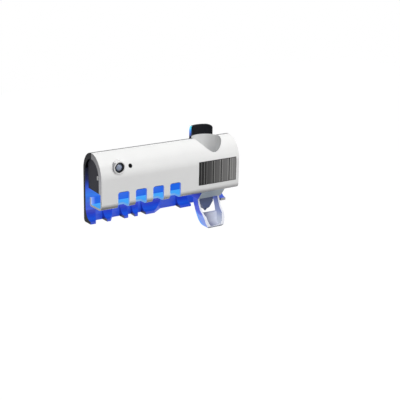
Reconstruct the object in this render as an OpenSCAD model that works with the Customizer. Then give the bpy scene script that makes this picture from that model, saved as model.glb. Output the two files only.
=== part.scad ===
// Wall-mounted toothbrush sterilizer with a tube well and a push-lever paste dispenser.
// X runs along the wall, Y = 0 is the wall, -Y faces the user, Z = 0 is mid-height.

/* [Overall] */
// Length along the wall
body_l = 205; // [200:1:245]
// Height of the rear housing
body_h = 92; // [88:1:108]
// Depth from the wall to the front face
body_d = 45; // [43:0.5:54]
// Depth of the seam between rear housing and cover
seam_d = 20; // [18:0.5:22]

/* [Rear housing] */
// Thickness of the back wall
back_wall = 4.6; // [4:0.1:6]
// Thickness of the arched top
top_wall = 3; // [2:0.1:3.6]
// Height of the arch behind the seam
rear_arch_h = 24; // [20:0.5:28]
// Depth of the comb shelf from the wall
shelf_d = 17; // [14:0.5:20]
// Thickness of the comb shelf at its front
shelf_t = 3.4; // [2:0.1:5]
// Depth of the hollow between wall and shelf
shelf_hollow_d = 12; // [8:0.5:14]
// Height of the hollow between wall and shelf
shelf_hollow_h = 16.6; // [10:0.5:20]
// Radius of the outer lower corner
foot_r = 4; // [2:0.5:6]
// Width of the framing rim at the open ends, at the top
rim_top_w = 7.6; // [6:0.1:9]
// Thickness of the framing rim along the length
rim_t = 2; // [1.5:0.1:3]

/* [Cover] */
// Wall of the cover
cover_wall = 2.5; // [2:0.1:3]
// Height of the cover's edge above the foot of the housing
cover_rise = 24; // [20:0.5:28]
// Height of the arch of the cover
cover_arch_h = 30; // [26:0.5:34]
// Radius of the lower front corner
cover_corner_r = 6; // [4:0.5:7]
// Width of the rim at the open ends, at the front
rim_front_w = 6.5; // [5:0.5:8]
// Distance from the wall to the lip's rear face
lip_back_d = 16; // [14:0.5:18]
// Height of the lip's upstand
lip_h = 11; // [8:0.5:14]

/* [Brush slots] */
// Number of brush slots
slot_count = 4; // [2:1:4]
// Distance from the left end to the first slot
slot_first = 31.2; // [28:0.2:34]
// Distance from slot to slot
slot_pitch = 25.1; // [21:0.1:26]
// Width of a slot
slot_w = 16; // [12:0.5:18]
// Height of a slot
slot_h = 21; // [18:0.5:24]
// Depth of a slot from the front face
slot_depth = 15; // [12:0.5:18]
// Radius of a slot's upper corners
slot_r = 3; // [1:0.5:5]

/* [Sensors] */
// Distance from the left end to the motion sensor
pir_x = 25.2; // [22:0.2:28]
// Height of the motion sensor above mid-height
pir_z = 29.9; // [27:0.1:31]
// Radius of the sensor's white collar
pir_r = 8; // [7:0.1:8.5]
// Radius of the black ring inside the collar
pir_ring_r = 6.4; // [5.8:0.1:6.6]
// Radius of the sensor's lens
pir_lens_r = 4.9; // [4.4:0.1:5.2]
// Distance from the left end to the round light window
dot_x = 42; // [38:0.5:46]
// Radius of the light window
dot_r = 2.7; // [2:0.1:3.2]

/* [Solar panel] */
// Width of the solar panel
solar_w = 58.5; // [50:0.5:60]
// Height of the solar panel
solar_h = 30.8; // [26:0.2:32]
// Thickness of the solar panel
solar_t = 1; // [0.8:0.1:1.2]
// Distance from the right end to the solar panel
solar_inset = 4.5; // [4:0.5:8]
// Height of the panel's lower edge above the cover's edge
solar_rise = 11.7; // [9:0.1:13]

/* [Electronics box] */
// Wall of the electronics box
box_wall = 1.6; // [1.2:0.1:2]
// Distance from the wall to the box's rear face
box_back_d = 8.5; // [8:0.1:9.5]
// Distance from the right end to the box
box_right = 60.5; // [58:0.5:64]
// Height of the box's floor above the cover's edge, at the rear
box_rise = 21; // [19:0.5:24]
// Drop of the box's floor from rear to front
box_drop = 2; // [1:0.5:3]

/* [Battery] */
// Radius of the battery cell
cell_r = 9.2; // [7:0.1:9.3]
// Length of the battery cell
cell_l = 65; // [45:1:66]

/* [Tube well and dispenser] */
// Distance from the right end to the dispenser's middle
disp_x_right = 37; // [35:0.5:40]
// Radius of the tube well
well_r = 20; // [17:0.5:20]
// Distance from the wall to the well's axis
well_y = 23; // [22.5:0.1:23.5]
// Height of the backrest above the housing's top
rest_rise = 12.5; // [8:0.5:20]
// Wall of the backrest
rest_wall = 2.5; // [2:0.1:2.6]
// Wall of the well's sleeve
sleeve_wall = 1; // [0.8:0.1:1.2]
// Half of the dispenser's width
disp_half_w = 18; // [17.6:0.1:18.4]
// Wall of the dispenser
disp_wall = 1.6; // [1.2:0.1:1.8]
// Radius of the collar's bore for the tube's neck
neck_r = 6; // [5:0.1:6.4]
// Width of the nozzle block
nozzle_w = 20; // [16:0.5:22]
// Height of the nozzle block
nozzle_h = 17.4; // [14:0.2:18]

/* [Lever] */
// Half of the lever's width at its top
lever_half = 17; // [16.8:0.1:17.4]
// Height of the lever below the hood
lever_h = 37.2; // [32:0.2:42]
// Depth from the lever's back to its front
lever_reach = 28; // [25:0.5:30]
// Distance from the wall to the lever's back at its top
lever_back_d = 19.5; // [19:0.1:20]
// Height of the lever's back wall above its floor
lever_back_h = 16; // [12:0.5:16.5]
// Wall of the lever
lever_wall = 2.5; // [2:0.1:2.8]
// Wall of the lever at its front rim
lever_rim = 3.6; // [2.8:0.1:4]
// Radius of the lever's pivot pins
pin_r = 1.5; // [1.2:0.1:1.6]

/* [Wall plate] */
// Width of the wall plate
plate_w = 100; // [80:1:104]
// Height of the wall plate
plate_h = 44; // [36:1:46]
// Thickness of the wall plate
plate_t = 1.5; // [1.2:0.1:1.6]
// Thickness of the adhesive pad
pad_t = 0.8; // [0.5:0.1:0.9]
// Distance between the two studs
stud_span = 44; // [40:1:50]
// Height of the studs above mid-height
stud_z = 6; // [4:0.5:8]
// Radius of a stud's neck
stud_r = 2.5; // [2:0.1:3]
// Radius of a stud's head
stud_head_r = 4.5; // [4:0.1:5]
// Travel that lifts the housing off the studs
lift = 9; // [8.5:0.1:10]

/* [Hidden] */
$fn = 64;

// Shared clearances
over = 1;
slip = 0.3;
fit_gap = 0.05;
seat_gap = 0.1;
arc_steps = 16;

// Colours
white_abs = [0.93, 0.93, 0.94];
black_abs = [0.10, 0.10, 0.12];
dark_abs = [0.22, 0.22, 0.26];
grey_abs = [0.62, 0.65, 0.68];
slate_abs = [0.32, 0.37, 0.46];
clear_white = [0.86, 0.88, 0.95];
glow_blue = [0.35, 0.45, 0.95];
board_green = [0.10, 0.35, 0.20];
steel = [0.70, 0.71, 0.74];

// Levels
left_x = -body_l / 2;
right_x = body_l / 2;
top_z = body_h / 2;
foot_z = -body_h / 2;
edge_z = foot_z + cover_rise;
arch_z = top_z - cover_arch_h;
rear_arch_z = top_z - rear_arch_h;
cover_seam = seam_d + slip;
box_left_x = left_x + rim_t + slip;
box_right_x = right_x - box_right;
box_floor_z = edge_z + box_rise;
disp_x = right_x - disp_x_right;
bay_l = disp_x - disp_half_w - slip - slip;
bay_r = right_x - rim_front_w - over;

// Points of an elliptical arc in the Y-Z plane
function arc(c, r, a0, a1) = [for (i = [0:arc_steps]) let (a = a0 + (a1 - a0) * i / arc_steps)
    [c[0] + r[0] * cos(a), c[1] + r[1] * sin(a)]];

// Outline drawn as (Y, Z), run along X
module along_x(x0, x1) {
    translate([x0, 0, 0]) rotate([90, 0, 90]) linear_extrude(x1 - x0) children();
}

// Outline drawn as (X, Z), run along Y from y0 to y1
module along_y(y0, y1) {
    translate([0, y1, 0]) rotate([90, 0, 0]) linear_extrude(y1 - y0) children();
}

// Cylinder along -Y, from depth d0 to depth d1 off the wall
module front_rod(x, z, d0, d1, r) {
    translate([x, -d0, z]) rotate([90, 0, 0]) cylinder(h = d1 - d0, r = r);
}

// Tube along -Y
module front_tube(x, z, d0, d1, r, bore) {
    difference() {
        front_rod(x, z, d0, d1, r);
        front_rod(x, z, d0 - over, d1 + over, bore);
    }
}

// Upright cylinder
module post(x, y, z0, z1, r) {
    translate([x, y, z0]) cylinder(h = z1 - z0, r = r);
}

// Block between two corners
module block(a, b) {
    translate(a) cube(b - a);
}

// Rounded rectangle centred on the origin, made of two bars and four discs
module round_rect(w, h, r) {
    square([w - r - r, h], center = true);
    square([w, h - r - r], center = true);
    for (x = [-1, 1], y = [-1, 1]) translate([x * (w / 2 - r), y * (h / 2 - r)]) circle(r);
}

// Wall plate sizes
plate_r = 5;
stud_head_t = 1.5;
plate_front = pad_t + plate_t;
recess_d = plate_front + slip;
stud_back = back_wall + slip;

module wall_pad() {
    color("dimgray") along_y(-pad_t, 0) round_rect(plate_w, plate_h, plate_r);
}

module wall_plate() {
    color("gainsboro") {
        along_y(-plate_front, -pad_t) round_rect(plate_w, plate_h, plate_r);
        for (x = [-stud_span / 2, stud_span / 2]) {
            front_rod(x, stud_z, plate_front, stud_back, stud_r);
            front_rod(x, stud_z, stud_back, stud_back + stud_head_t, stud_head_r);
        }
    }
}

// Comb notches: left and right at the front, left and right at the back wall,
// as shares of half the length
notch_shares = [
    [-0.932, -0.771, -0.864, -0.771],
    [-0.726, -0.528, -0.631, -0.528],
    [-0.478, -0.382, -0.418, -0.368],
    [-0.341, -0.221, -0.262, -0.221],
    [-0.106, 0.290, 0.071, 0.300]
];

module housing_shell_2d() {
    polygon(concat(
        arc([-seam_d, rear_arch_z], [seam_d, rear_arch_h], 90, 0),
        arc([-foot_r, foot_z + foot_r], [foot_r, foot_r], 0, -90),
        [[-shelf_d, foot_z], [-shelf_d, foot_z + shelf_t]],
        arc([-back_wall - shelf_hollow_d, foot_z + shelf_t + shelf_hollow_h],
            [shelf_hollow_d, shelf_hollow_h], 270, 360),
        arc([-seam_d, rear_arch_z], [seam_d - back_wall, rear_arch_h - top_wall], 0, 90)));
}

module housing_rim_2d() {
    polygon(concat(
        arc([-seam_d, rear_arch_z], [seam_d, rear_arch_h], 90, 0),
        arc([-seam_d, rear_arch_z], [seam_d - back_wall, rear_arch_h - rim_top_w], 0, 90)));
}

// One notch of the comb, as a prism seen from above
module notch(front_l, front_r, rear_l, rear_r) {
    reach = shelf_d + over;
    translate([0, 0, foot_z - over])
        linear_extrude(shelf_t + shelf_hollow_h + over + over)
            polygon([[front_l, -reach], [front_r, -reach], [rear_r, -back_wall], [rear_l, -back_wall]]);
}

// Keyhole for a stud: a slot with its entry below
module keyhole(x) {
    neck = stud_r + slip;
    front_rod(x, stud_z, 0, back_wall + over, neck);
    block([x - neck, -back_wall - over, stud_z - lift], [x + neck, 0, stud_z]);
    front_rod(x, stud_z - lift, 0, back_wall + over, stud_head_r + slip + slip);
}

rest_corner_r = 7;
rest_reach = 10;
rest_top_z = top_z + rest_rise;
sleeve_top_z = top_z - slip;

// Curved backrest behind the tube
module backrest() {
    r_in = well_r + seat_gap;
    half = well_r - over;
    intersection() {
        difference() {
            post(disp_x, -well_y, rear_arch_z, rest_top_z, r_in + rest_wall);
            post(disp_x, -well_y, rear_arch_z - over, rest_top_z + over, r_in);
        }
        translate([disp_x, 0, 0]) along_y(-rest_reach, 0)
            translate([0, rest_top_z - body_h / 2]) round_rect(half + half, body_h, rest_corner_r);
    }
}

rail_neck_half = 3;
rail_head_half = 5;
rail_neck_d = 2;
rail_head_d = 2;
rail_rise = 7;
rail_drop = 11;
rail_top_z = edge_z + rail_rise;
rail_foot_z = edge_z - rail_drop;

module dispenser_rail() {
    block([disp_x - rail_neck_half, -back_wall - rail_neck_d, rail_foot_z],
        [disp_x + rail_neck_half, -back_wall, rail_top_z]);
    block([disp_x - rail_head_half, -back_wall - rail_neck_d - rail_head_d, rail_foot_z],
        [disp_x + rail_head_half, -back_wall - rail_neck_d, rail_top_z]);
}

well_rise = 11;
well_foot_z = edge_z + well_rise;

module rear_housing() {
    half_l = body_l / 2;
    color(black_abs) {
        difference() {
            union() {
                along_x(left_x, right_x) housing_shell_2d();
                along_x(left_x, left_x + rim_t) housing_rim_2d();
                along_x(right_x - rim_t, right_x) housing_rim_2d();
                backrest();
            }
            post(disp_x, -well_y, well_foot_z, rest_top_z + over, well_r + seat_gap);
            for (n = notch_shares)
                notch(half_l * n[0], half_l * n[1], half_l * n[2], half_l * n[3]);
            notch(bay_l, bay_r, bay_l, bay_r);
            block([-plate_w / 2 - slip, -recess_d, -plate_h / 2 - lift - slip],
                [plate_w / 2 + slip, over, plate_h / 2 + slip]);
            for (x = [-stud_span / 2, stud_span / 2]) keyhole(x);
        }
        dispenser_rail();
    }
}

// Rear half of the well's white sleeve, open towards the user
module tube_sleeve() {
    color(white_abs) difference() {
        post(disp_x, -well_y, well_foot_z + slip, sleeve_top_z, well_r);
        post(disp_x, -well_y, well_foot_z - over, top_z + over, well_r - sleeve_wall);
        block([disp_x - body_d, -well_y - body_d, well_foot_z - over],
            [disp_x + body_d, -cover_seam + slip, top_z + over]);
    }
}

// Magnets: one column near the box's left end, one just inside the right stud
magnet_r = 4;
magnet_inset = 6;
magnet_gap = 1.5;
magnet_low = 10.5;
magnet_high = 19;
magnet_split = (box_back_d - back_wall) / 2;
magnet_xs = [box_left_x + magnet_inset, stud_span / 2 - stud_head_r - magnet_gap - magnet_r];
magnet_zs = [box_floor_z + magnet_low, box_floor_z + magnet_high];

module housing_magnets() {
    color(steel) for (x = magnet_xs, z = magnet_zs)
        front_rod(x, z, back_wall, back_wall + magnet_split - slip / 2, magnet_r);
}

module cover_magnets() {
    color(steel) for (x = magnet_xs, z = magnet_zs)
        front_rod(x, z, back_wall + magnet_split + slip / 2, box_back_d, magnet_r);
}

module cover_shell_2d() {
    lip_r = cover_wall;
    corner = [-body_d + cover_corner_r, edge_z + cover_corner_r];
    polygon(concat(
        arc([-cover_seam, arch_z], [body_d - cover_seam, cover_arch_h], 90, 180),
        arc(corner, [cover_corner_r, cover_corner_r], 180, 270),
        arc([-lip_back_d - lip_r, edge_z + lip_r], [lip_r, lip_r], 270, 360),
        [[-lip_back_d, edge_z + lip_h], [-lip_back_d - cover_wall, edge_z + lip_h],
            [-lip_back_d - cover_wall, edge_z + cover_wall]],
        arc(corner, [cover_corner_r - cover_wall, cover_corner_r - cover_wall], 270, 180),
        arc([-cover_seam, arch_z],
            [body_d - cover_seam - cover_wall, cover_arch_h - cover_wall], 180, 90)));
}

module cover_rim_2d() {
    polygon(concat(
        arc([-cover_seam, arch_z], [body_d - cover_seam, cover_arch_h], 90, 180),
        [[-body_d, box_floor_z - box_drop], [-body_d + rim_front_w, box_floor_z]],
        arc([-cover_seam, arch_z],
            [body_d - cover_seam - rim_front_w, cover_arch_h - rim_top_w], 180, 90)));
}

// Front half of the tube well's wall, up to the cover's face
module well_front() {
    intersection() {
        along_x(disp_x - body_d, disp_x + body_d) polygon(concat(
            [[-cover_seam, well_foot_z + slip]],
            arc([-cover_seam, arch_z], [body_d - cover_seam, cover_arch_h], 90, 180),
            [[-body_d, well_foot_z + slip]]));
        post(disp_x, -well_y, well_foot_z, top_z + over, well_r);
    }
}

// Opening for one brush: rounded at the top, open below
module slot_cut(x) {
    slot_top = edge_z + slot_h;
    along_y(-body_d - over, -body_d + slot_depth) {
        translate([x, slot_top - slot_h / 2]) round_rect(slot_w, slot_h, slot_r);
        translate([x, edge_z]) square([slot_w, slot_h], center = true);
    }
}

function slot_x(i) = left_x + slot_first + i * slot_pitch;

pir_cx = left_x + pir_x;
dot_cx = left_x + dot_x;
dot_half_l = 4;
dot_z = pir_z - seat_gap - slip;
dot_share = (dot_z - arch_z) / cover_arch_h;
dot_span = body_d - cover_seam;
dot_d = cover_seam + dot_span * sqrt(1 - dot_share * dot_share);
dot_tilt = atan2(dot_share / cover_arch_h, (dot_d - cover_seam) / (dot_span * dot_span));
solar_x0 = right_x - solar_inset - solar_w;
solar_z0 = edge_z + solar_rise;

// Rod square to the cover's face at the light window, from below the face outwards
module dot_rod(inner, outer, r) {
    translate([dot_cx, -dot_d, dot_z]) rotate([90 - dot_tilt, 0, 0])
        translate([0, 0, -inner]) cylinder(h = inner + outer, r = r);
}

module front_cover() {
    notch_half = disp_half_w + slip + slip;
    color(white_abs) difference() {
        union() {
            along_x(left_x, right_x) cover_shell_2d();
            along_x(left_x, left_x + rim_t) cover_rim_2d();
            along_x(right_x - rim_t, right_x) cover_rim_2d();
            well_front();
        }
        for (i = [0:slot_count - 1]) slot_cut(slot_x(i));
        front_rod(pir_cx, pir_z, seam_d, body_d + over, pir_r + seat_gap);
        dot_rod(dot_half_l, over, dot_r + fit_gap);
        block([solar_x0 - seat_gap, -body_d - over, solar_z0 - seat_gap],
            [solar_x0 + solar_w + seat_gap, -body_d + solar_t, solar_z0 + solar_h + seat_gap]);
        post(disp_x, -well_y, well_foot_z - over, top_z + over, well_r - sleeve_wall);
        block([disp_x - notch_half, -body_d + cover_wall + over, edge_z - over],
            [disp_x + notch_half, 0, edge_z + lip_h + over]);
    }
}

module box_2d(inset, floor_lift) {
    front = body_d - cover_wall - slip - inset;
    arch_h = cover_arch_h - cover_wall - slip - over - inset;
    rear_h = rear_arch_h - top_wall - over - inset;
    rear_d = box_back_d + box_wall;
    lip = box_wall;
    polygon(concat(
        arc([-cover_seam, arch_z], [front - cover_seam, arch_h], 90, 180),
        [[-front, box_floor_z - box_drop + floor_lift + lip],
            [-front + lip, box_floor_z - box_drop + floor_lift], [-rear_d, box_floor_z + floor_lift]],
        arc([-seam_d, rear_arch_z], [seam_d - box_back_d, rear_h], rear_cut_angle, 90)));
}

rear_cut_angle = 30;
uv_inset_left = 10;
uv_inset_right = 30;
uv_x0 = box_left_x + uv_inset_left;
uv_x1 = box_right_x - uv_inset_right;
uv_d0 = 16;
uv_d1 = 22;
uv_ledge = 1;
floor_t = 2;
switch_d = 34;
switch_rise = 3;
switch_z = arch_z + switch_rise;
switch_slot_half_h = 3.6;
switch_stem_half = 0.8;

// Solids that pass through the box's front and floor
module box_openings() {
    front_rod(pir_cx, pir_z, seam_d, body_d, pir_r + seat_gap);
    dot_rod(body_d / 4, over, dot_r + seat_gap);
    block([uv_x0, -uv_d1, box_floor_z - floor_t - box_drop], [uv_x1, -uv_d0, box_floor_z + floor_t + over]);
    block([usb_x0 - seat_gap, -usb_d0 - usb_t - seat_gap, box_floor_z - box_drop],
        [usb_x0 + usb_w + seat_gap, -usb_d0 + seat_gap, box_floor_z + floor_t + over]);
    block([box_left_x - over, -switch_d - switch_stem_half - slip, switch_z - switch_slot_half_h],
        [box_left_x + box_wall + over, -switch_d + switch_stem_half + slip, switch_z + switch_slot_half_h]);
}

module inner_box() {
    rear_d = box_back_d + box_wall;
    color(dark_abs) difference() {
        along_x(box_left_x, box_right_x) box_2d(0, 0);
        difference() {
            along_x(box_left_x + box_wall, box_right_x - box_wall) union() {
                box_2d(box_wall, floor_t);
                square_rear(rear_d, box_floor_z + floor_t, rear_inner_z);
            }
            for (x = box_screw_xs, z = box_screw_zs)
                front_rod(x, z, rear_d, rear_d + screw_boss_l, screw_boss_r);
        }
        box_openings();
        for (x = box_screw_xs, z = box_screw_zs)
            front_rod(x, z, box_back_d, rear_d + screw_boss_l - box_wall, screw_r + fit_gap);
    }
}

// Opening through the rear edge of the box
module square_rear(rear_d, z0, z1) {
    translate([-rear_d - over, z0]) square([over + over, z1 - z0]);
}

rear_share = 0.5;
rear_inner_z = rear_arch_z + (rear_arch_h - top_wall - over) * rear_share - box_wall;
screw_r = 1;
screw_head_r = 2;
screw_head_t = 1.2;
screw_boss_r = 2.6;
screw_boss_l = 8;
box_screw_inset = 3.6;
box_screw_xs = [box_left_x + box_screw_inset, box_right_x - box_screw_inset];
box_screw_zs = [box_floor_z + floor_t + box_screw_inset / 2, rear_inner_z - box_screw_inset / 2];

module box_back() {
    rear_d = box_back_d + box_wall;
    z0 = box_floor_z + seat_gap;
    z1 = rear_inner_z + box_wall - seat_gap;
    color(dark_abs) difference() {
        union() {
            block([box_left_x, -rear_d + seat_gap, z0], [box_right_x, -box_back_d, z1]);
            for (x = board_screw_xs, z = board_screw_zs)
                front_rod(x, z, box_back_d, board_d, screw_boss_r);
        }
        for (x = box_screw_xs, z = box_screw_zs) {
            front_rod(x, z, 0, rear_d + over, screw_r + fit_gap);
            front_rod(x, z, 0, box_back_d + screw_head_t / 2, screw_head_r + seat_gap);
        }
        for (x = board_screw_xs, z = board_screw_zs)
            front_rod(x, z, rear_d, board_d + over, screw_r + fit_gap);
    }
}

module box_screws() {
    head_d = box_back_d + screw_head_t / 2;
    color(steel) for (x = box_screw_xs, z = box_screw_zs) {
        front_rod(x, z, head_d - screw_head_t + seat_gap, head_d, screw_head_r);
        front_rod(x, z, head_d, head_d + screw_boss_l - screw_head_t, screw_r);
    }
}

// Main board on four bosses of the box's back
board_t = 1.6;
board_d = 14;
board_inset = 18;
board_rise = 6;
board_width_share = 0.5;
board_x0 = box_left_x + board_inset;
board_w = (box_right_x - box_left_x) * board_width_share;
board_z0 = box_floor_z + board_rise;
board_h = 22;
board_edge = 3.4;
board_screw_xs = [board_x0 + board_edge, board_x0 + board_w - board_edge];
board_screw_zs = [board_z0 + board_edge, board_z0 + board_h - board_edge];

module main_board() {
    color(board_green) difference() {
        block([board_x0, -board_d - board_t, board_z0], [board_x0 + board_w, -board_d, board_z0 + board_h]);
        for (x = board_screw_xs, z = board_screw_zs)
            front_rod(x, z, board_d - over, board_d + board_t + over, screw_r + seat_gap);
    }
}

// Chips and sockets: left edge, lower edge, width and height as shares of the board
part_shares = [
    [0.14, 0.30, 0.14, 0.40],
    [0.36, 0.20, 0.10, 0.25],
    [0.36, 0.60, 0.18, 0.22],
    [0.60, 0.25, 0.16, 0.45],
    [0.82, 0.30, 0.07, 0.36]
];
part_t = 2;

module board_parts() {
    face = board_d + board_t;
    color("dimgray") for (p = part_shares)
        block([board_x0 + p[0] * board_w, -face - part_t, board_z0 + p[1] * board_h],
            [board_x0 + (p[0] + p[2]) * board_w, -face, board_z0 + (p[1] + p[3]) * board_h]);
}

module board_screws() {
    face = board_d + board_t;
    color(steel) for (x = board_screw_xs, z = board_screw_zs) {
        front_rod(x, z, face, face + screw_head_t, screw_head_r);
        front_rod(x, z, box_back_d + box_wall + slip, face, screw_r);
    }
}

// Battery in its cradle on the box's floor
cell_d = 30.5;
cell_lift = 3;
cell_inset = 8;
cell_z = box_floor_z + floor_t + cell_r + cell_lift;
cell_x1 = box_right_x - cell_inset;
cell_x0 = cell_x1 - cell_l;
cradle_wall = 2;
cradle_d0 = 23.5;
tab_r = 3;

module battery_cell() {
    color("royalblue") translate([cell_x0, -cell_d, cell_z]) rotate([0, 90, 0]) {
        cylinder(h = cell_l - over, r = cell_r);
        cylinder(h = cell_l, r = tab_r);
    }
}

module battery_holder() {
    d1 = cell_d + cell_r - over;
    color("black") difference() {
        block([cell_x0 - cradle_wall, -d1, box_floor_z + floor_t],
            [cell_x1 + cradle_wall, -cradle_d0, cell_z]);
        translate([cell_x0 - seat_gap, -cell_d, cell_z]) rotate([0, 90, 0])
            cylinder(h = cell_l + seat_gap + seat_gap, r = cell_r + seat_gap);
    }
}

// Ultraviolet lamps under a clear window in the box's floor
led_pitch = 18;
led_half = 1.75;
led_t = 1;
uv_window_t = 1.4;
uv_board_t = 1.2;
uv_window_z = box_floor_z - over / 2;
uv_board_z = uv_window_z + uv_window_t + led_t + seat_gap;
uv_mid_d = (uv_d0 + uv_d1) / 2;
led_count = floor((uv_x1 - uv_x0 - led_pitch) / led_pitch) + 1;
led_x0 = (uv_x0 + uv_x1 - (led_count - 1) * led_pitch) / 2;

module uv_window() {
    color("lightcyan") block([uv_x0 + seat_gap, -uv_d1 + seat_gap, uv_window_z],
        [uv_x1 - seat_gap, -uv_d0 - seat_gap, uv_window_z + uv_window_t]);
}

module uv_leds() {
    color(glow_blue) for (i = [0:led_count - 1])
        block([led_x0 + i * led_pitch - led_half, -uv_mid_d - led_half, uv_board_z - led_t],
            [led_x0 + i * led_pitch + led_half, -uv_mid_d + led_half, uv_board_z]);
}

module uv_board() {
    color(board_green) block([uv_x0 - uv_ledge, -uv_d1 - uv_ledge, uv_board_z],
        [uv_x1 + uv_ledge, -uv_d0 + uv_ledge, uv_board_z + uv_board_t]);
}

// Charging socket in the floor of the box
usb_w = 9;
usb_t = 3.2;
usb_l = 7;
usb_d0 = 12;
usb_inset = 22;
usb_x0 = box_right_x - usb_inset;

module usb_socket() {
    inner = usb_t / 4;
    z0 = box_floor_z - seat_gap;
    color(steel) difference() {
        block([usb_x0, -usb_d0 - usb_t, z0], [usb_x0 + usb_w, -usb_d0, z0 + usb_l]);
        block([usb_x0 + inner, -usb_d0 - usb_t + inner, z0 - over],
            [usb_x0 + usb_w - inner, -usb_d0 - inner, z0 + usb_l - inner]);
    }
}

// Power switch behind the left end of the box
switch_travel = 3;
switch_half_d = 3;
switch_half_h = 6;
switch_body_l = 5;
knob_half_d = 1.4;
knob_half_h = 2.4;
knob_t = 1.3;

module switch_body() {
    x0 = box_left_x + box_wall + seat_gap;
    color("black") difference() {
        block([x0, -switch_d - switch_half_d, switch_z - switch_half_h],
            [x0 + switch_body_l, -switch_d + switch_half_d, switch_z + switch_half_h]);
        block([x0 - over, -switch_d - switch_stem_half - slip, switch_z - switch_slot_half_h],
            [x0 + over + over, -switch_d + switch_stem_half + slip, switch_z + switch_slot_half_h]);
    }
}

module switch_knob() {
    low = switch_z - switch_slot_half_h + slip;
    stem_h = switch_slot_half_h + switch_slot_half_h - switch_travel - slip - slip;
    mid = low + stem_h / 2;
    color(white_abs) {
        block([box_left_x - slip, -switch_d - switch_stem_half, low],
            [box_left_x + box_wall + over, -switch_d + switch_stem_half, low + stem_h]);
        block([box_left_x - slip - knob_t, -switch_d - knob_half_d, mid - knob_half_h],
            [box_left_x - slip, -switch_d + knob_half_d, mid + knob_half_h]);
    }
}

module right_end_panel() {
    x1 = right_x - rim_t - seat_gap;
    front = body_d - cover_wall - slip;
    arch_h = cover_arch_h - cover_wall - slip - over;
    color(dark_abs) along_x(x1 - box_wall, x1) polygon(concat(
        arc([-cover_seam, arch_z], [front - cover_seam, arch_h], 90, 180),
        [[-front, box_floor_z - box_drop], [-cover_seam, box_floor_z]]));
}

module solar_panel() {
    color([0.20, 0.20, 0.23]) block([solar_x0, -body_d + slip / 2, solar_z0],
        [solar_x0 + solar_w, -body_d + solar_t, solar_z0 + solar_h]);
}

// Motion sensor: collar, ring, lens, can and its board
pir_proud = 0.6;
pir_front = body_d + pir_proud;
pir_back = 26;
pir_flange_r = 9;
pir_flange_t = 1.5;
pir_ring_l = 5;
lens_dome_h = 2;
lens_rim_t = 1;
can_r = 4.6;
can_l = 4.5;
pin_wire_r = 0.3;
pin_wire_l = 3.4;

module pir_bezel() {
    color(white_abs) {
        front_tube(pir_cx, pir_z, pir_back, pir_front, pir_r, pir_ring_r + fit_gap);
        front_tube(pir_cx, pir_z, pir_back - pir_flange_t, pir_back, pir_flange_r, pir_ring_r + fit_gap);
    }
}

module pir_ring() {
    front_d = pir_front - slip;
    bore_r = pir_lens_r + fit_gap;
    color("black") front_tube(pir_cx, pir_z, front_d - pir_ring_l, front_d, pir_ring_r, bore_r);
}

// Domed lens turned about the sensor's axis
module pir_lens() {
    dome_r = (pir_lens_r * pir_lens_r + lens_dome_h * lens_dome_h) / (lens_dome_h + lens_dome_h);
    base_d = pir_front - slip - lens_dome_h;
    color("lightsteelblue") translate([pir_cx, -base_d, pir_z]) rotate([90, 0, 0]) {
        intersection() {
            translate([0, 0, lens_dome_h - dome_r]) sphere(dome_r);
            cylinder(h = lens_dome_h + over, r = pir_lens_r);
        }
        translate([0, 0, -lens_rim_t]) cylinder(h = lens_rim_t, r = pir_lens_r);
    }
}

can_front = pir_front - slip - lens_dome_h - lens_rim_t - slip - slip;

module pir_sensor() {
    color(steel) {
        front_rod(pir_cx, pir_z, can_front - can_l, can_front, can_r);
        for (x = [-can_r / 2, can_r / 2])
            front_rod(pir_cx + x, pir_z, can_front - can_l - pin_wire_l, can_front - can_l, pin_wire_r);
    }
}

module sensor_board() {
    d1 = can_front - can_l - seat_gap;
    color(board_green) difference() {
        front_rod(pir_cx, pir_z, d1 - board_t, d1, pir_ring_r);
        for (x = [-can_r / 2, can_r / 2])
            front_rod(pir_cx + x, pir_z, 0, d1 + over, pin_wire_r + fit_gap);
    }
}

dot_proud = 0.1;
dot_sensor_l = 3;

module light_window() {
    color("black") dot_rod(dot_half_l, dot_proud, dot_r);
}

module light_sensor() {
    color(glow_blue) translate([dot_cx, -dot_d, dot_z]) rotate([90 - dot_tilt, 0, 0])
        translate([0, 0, -dot_half_l - dot_sensor_l - seat_gap])
            cylinder(h = dot_sensor_l, r = dot_r - slip);
}

// Dispenser: hood, back plate and the pump between them
disp_rise = 10;
disp_drop = 10.5;
disp_back_gap = 6.6;
disp_top_z = edge_z + disp_rise;
disp_foot_z = edge_z - disp_drop;
disp_back_d = back_wall + disp_back_gap;
disp_front_top_d = body_d - cover_wall - over - slip - slip;
disp_front_foot_d = 32.5;
hood_shoulder = 0.5;
hood_slope_z = edge_z + hood_shoulder;
pivot_d = 16;
pivot_rise = 4;
pivot_z = edge_z + pivot_rise;
cheek_in = disp_half_w - disp_wall;

module hood_2d(wall, drop) {
    polygon([[-disp_back_d, disp_top_z - wall], [-disp_front_top_d + wall, disp_top_z - wall],
        [-disp_front_top_d + wall, hood_slope_z], [-disp_front_foot_d + wall, disp_foot_z - drop],
        [-disp_back_d, disp_foot_z - drop]]);
}

disp_boss_x = 10.8;
disp_boss_r = 2;
disp_boss_z = disp_top_z - disp_wall - disp_boss_r + over / 2;
disp_boss_l = 6;

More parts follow.
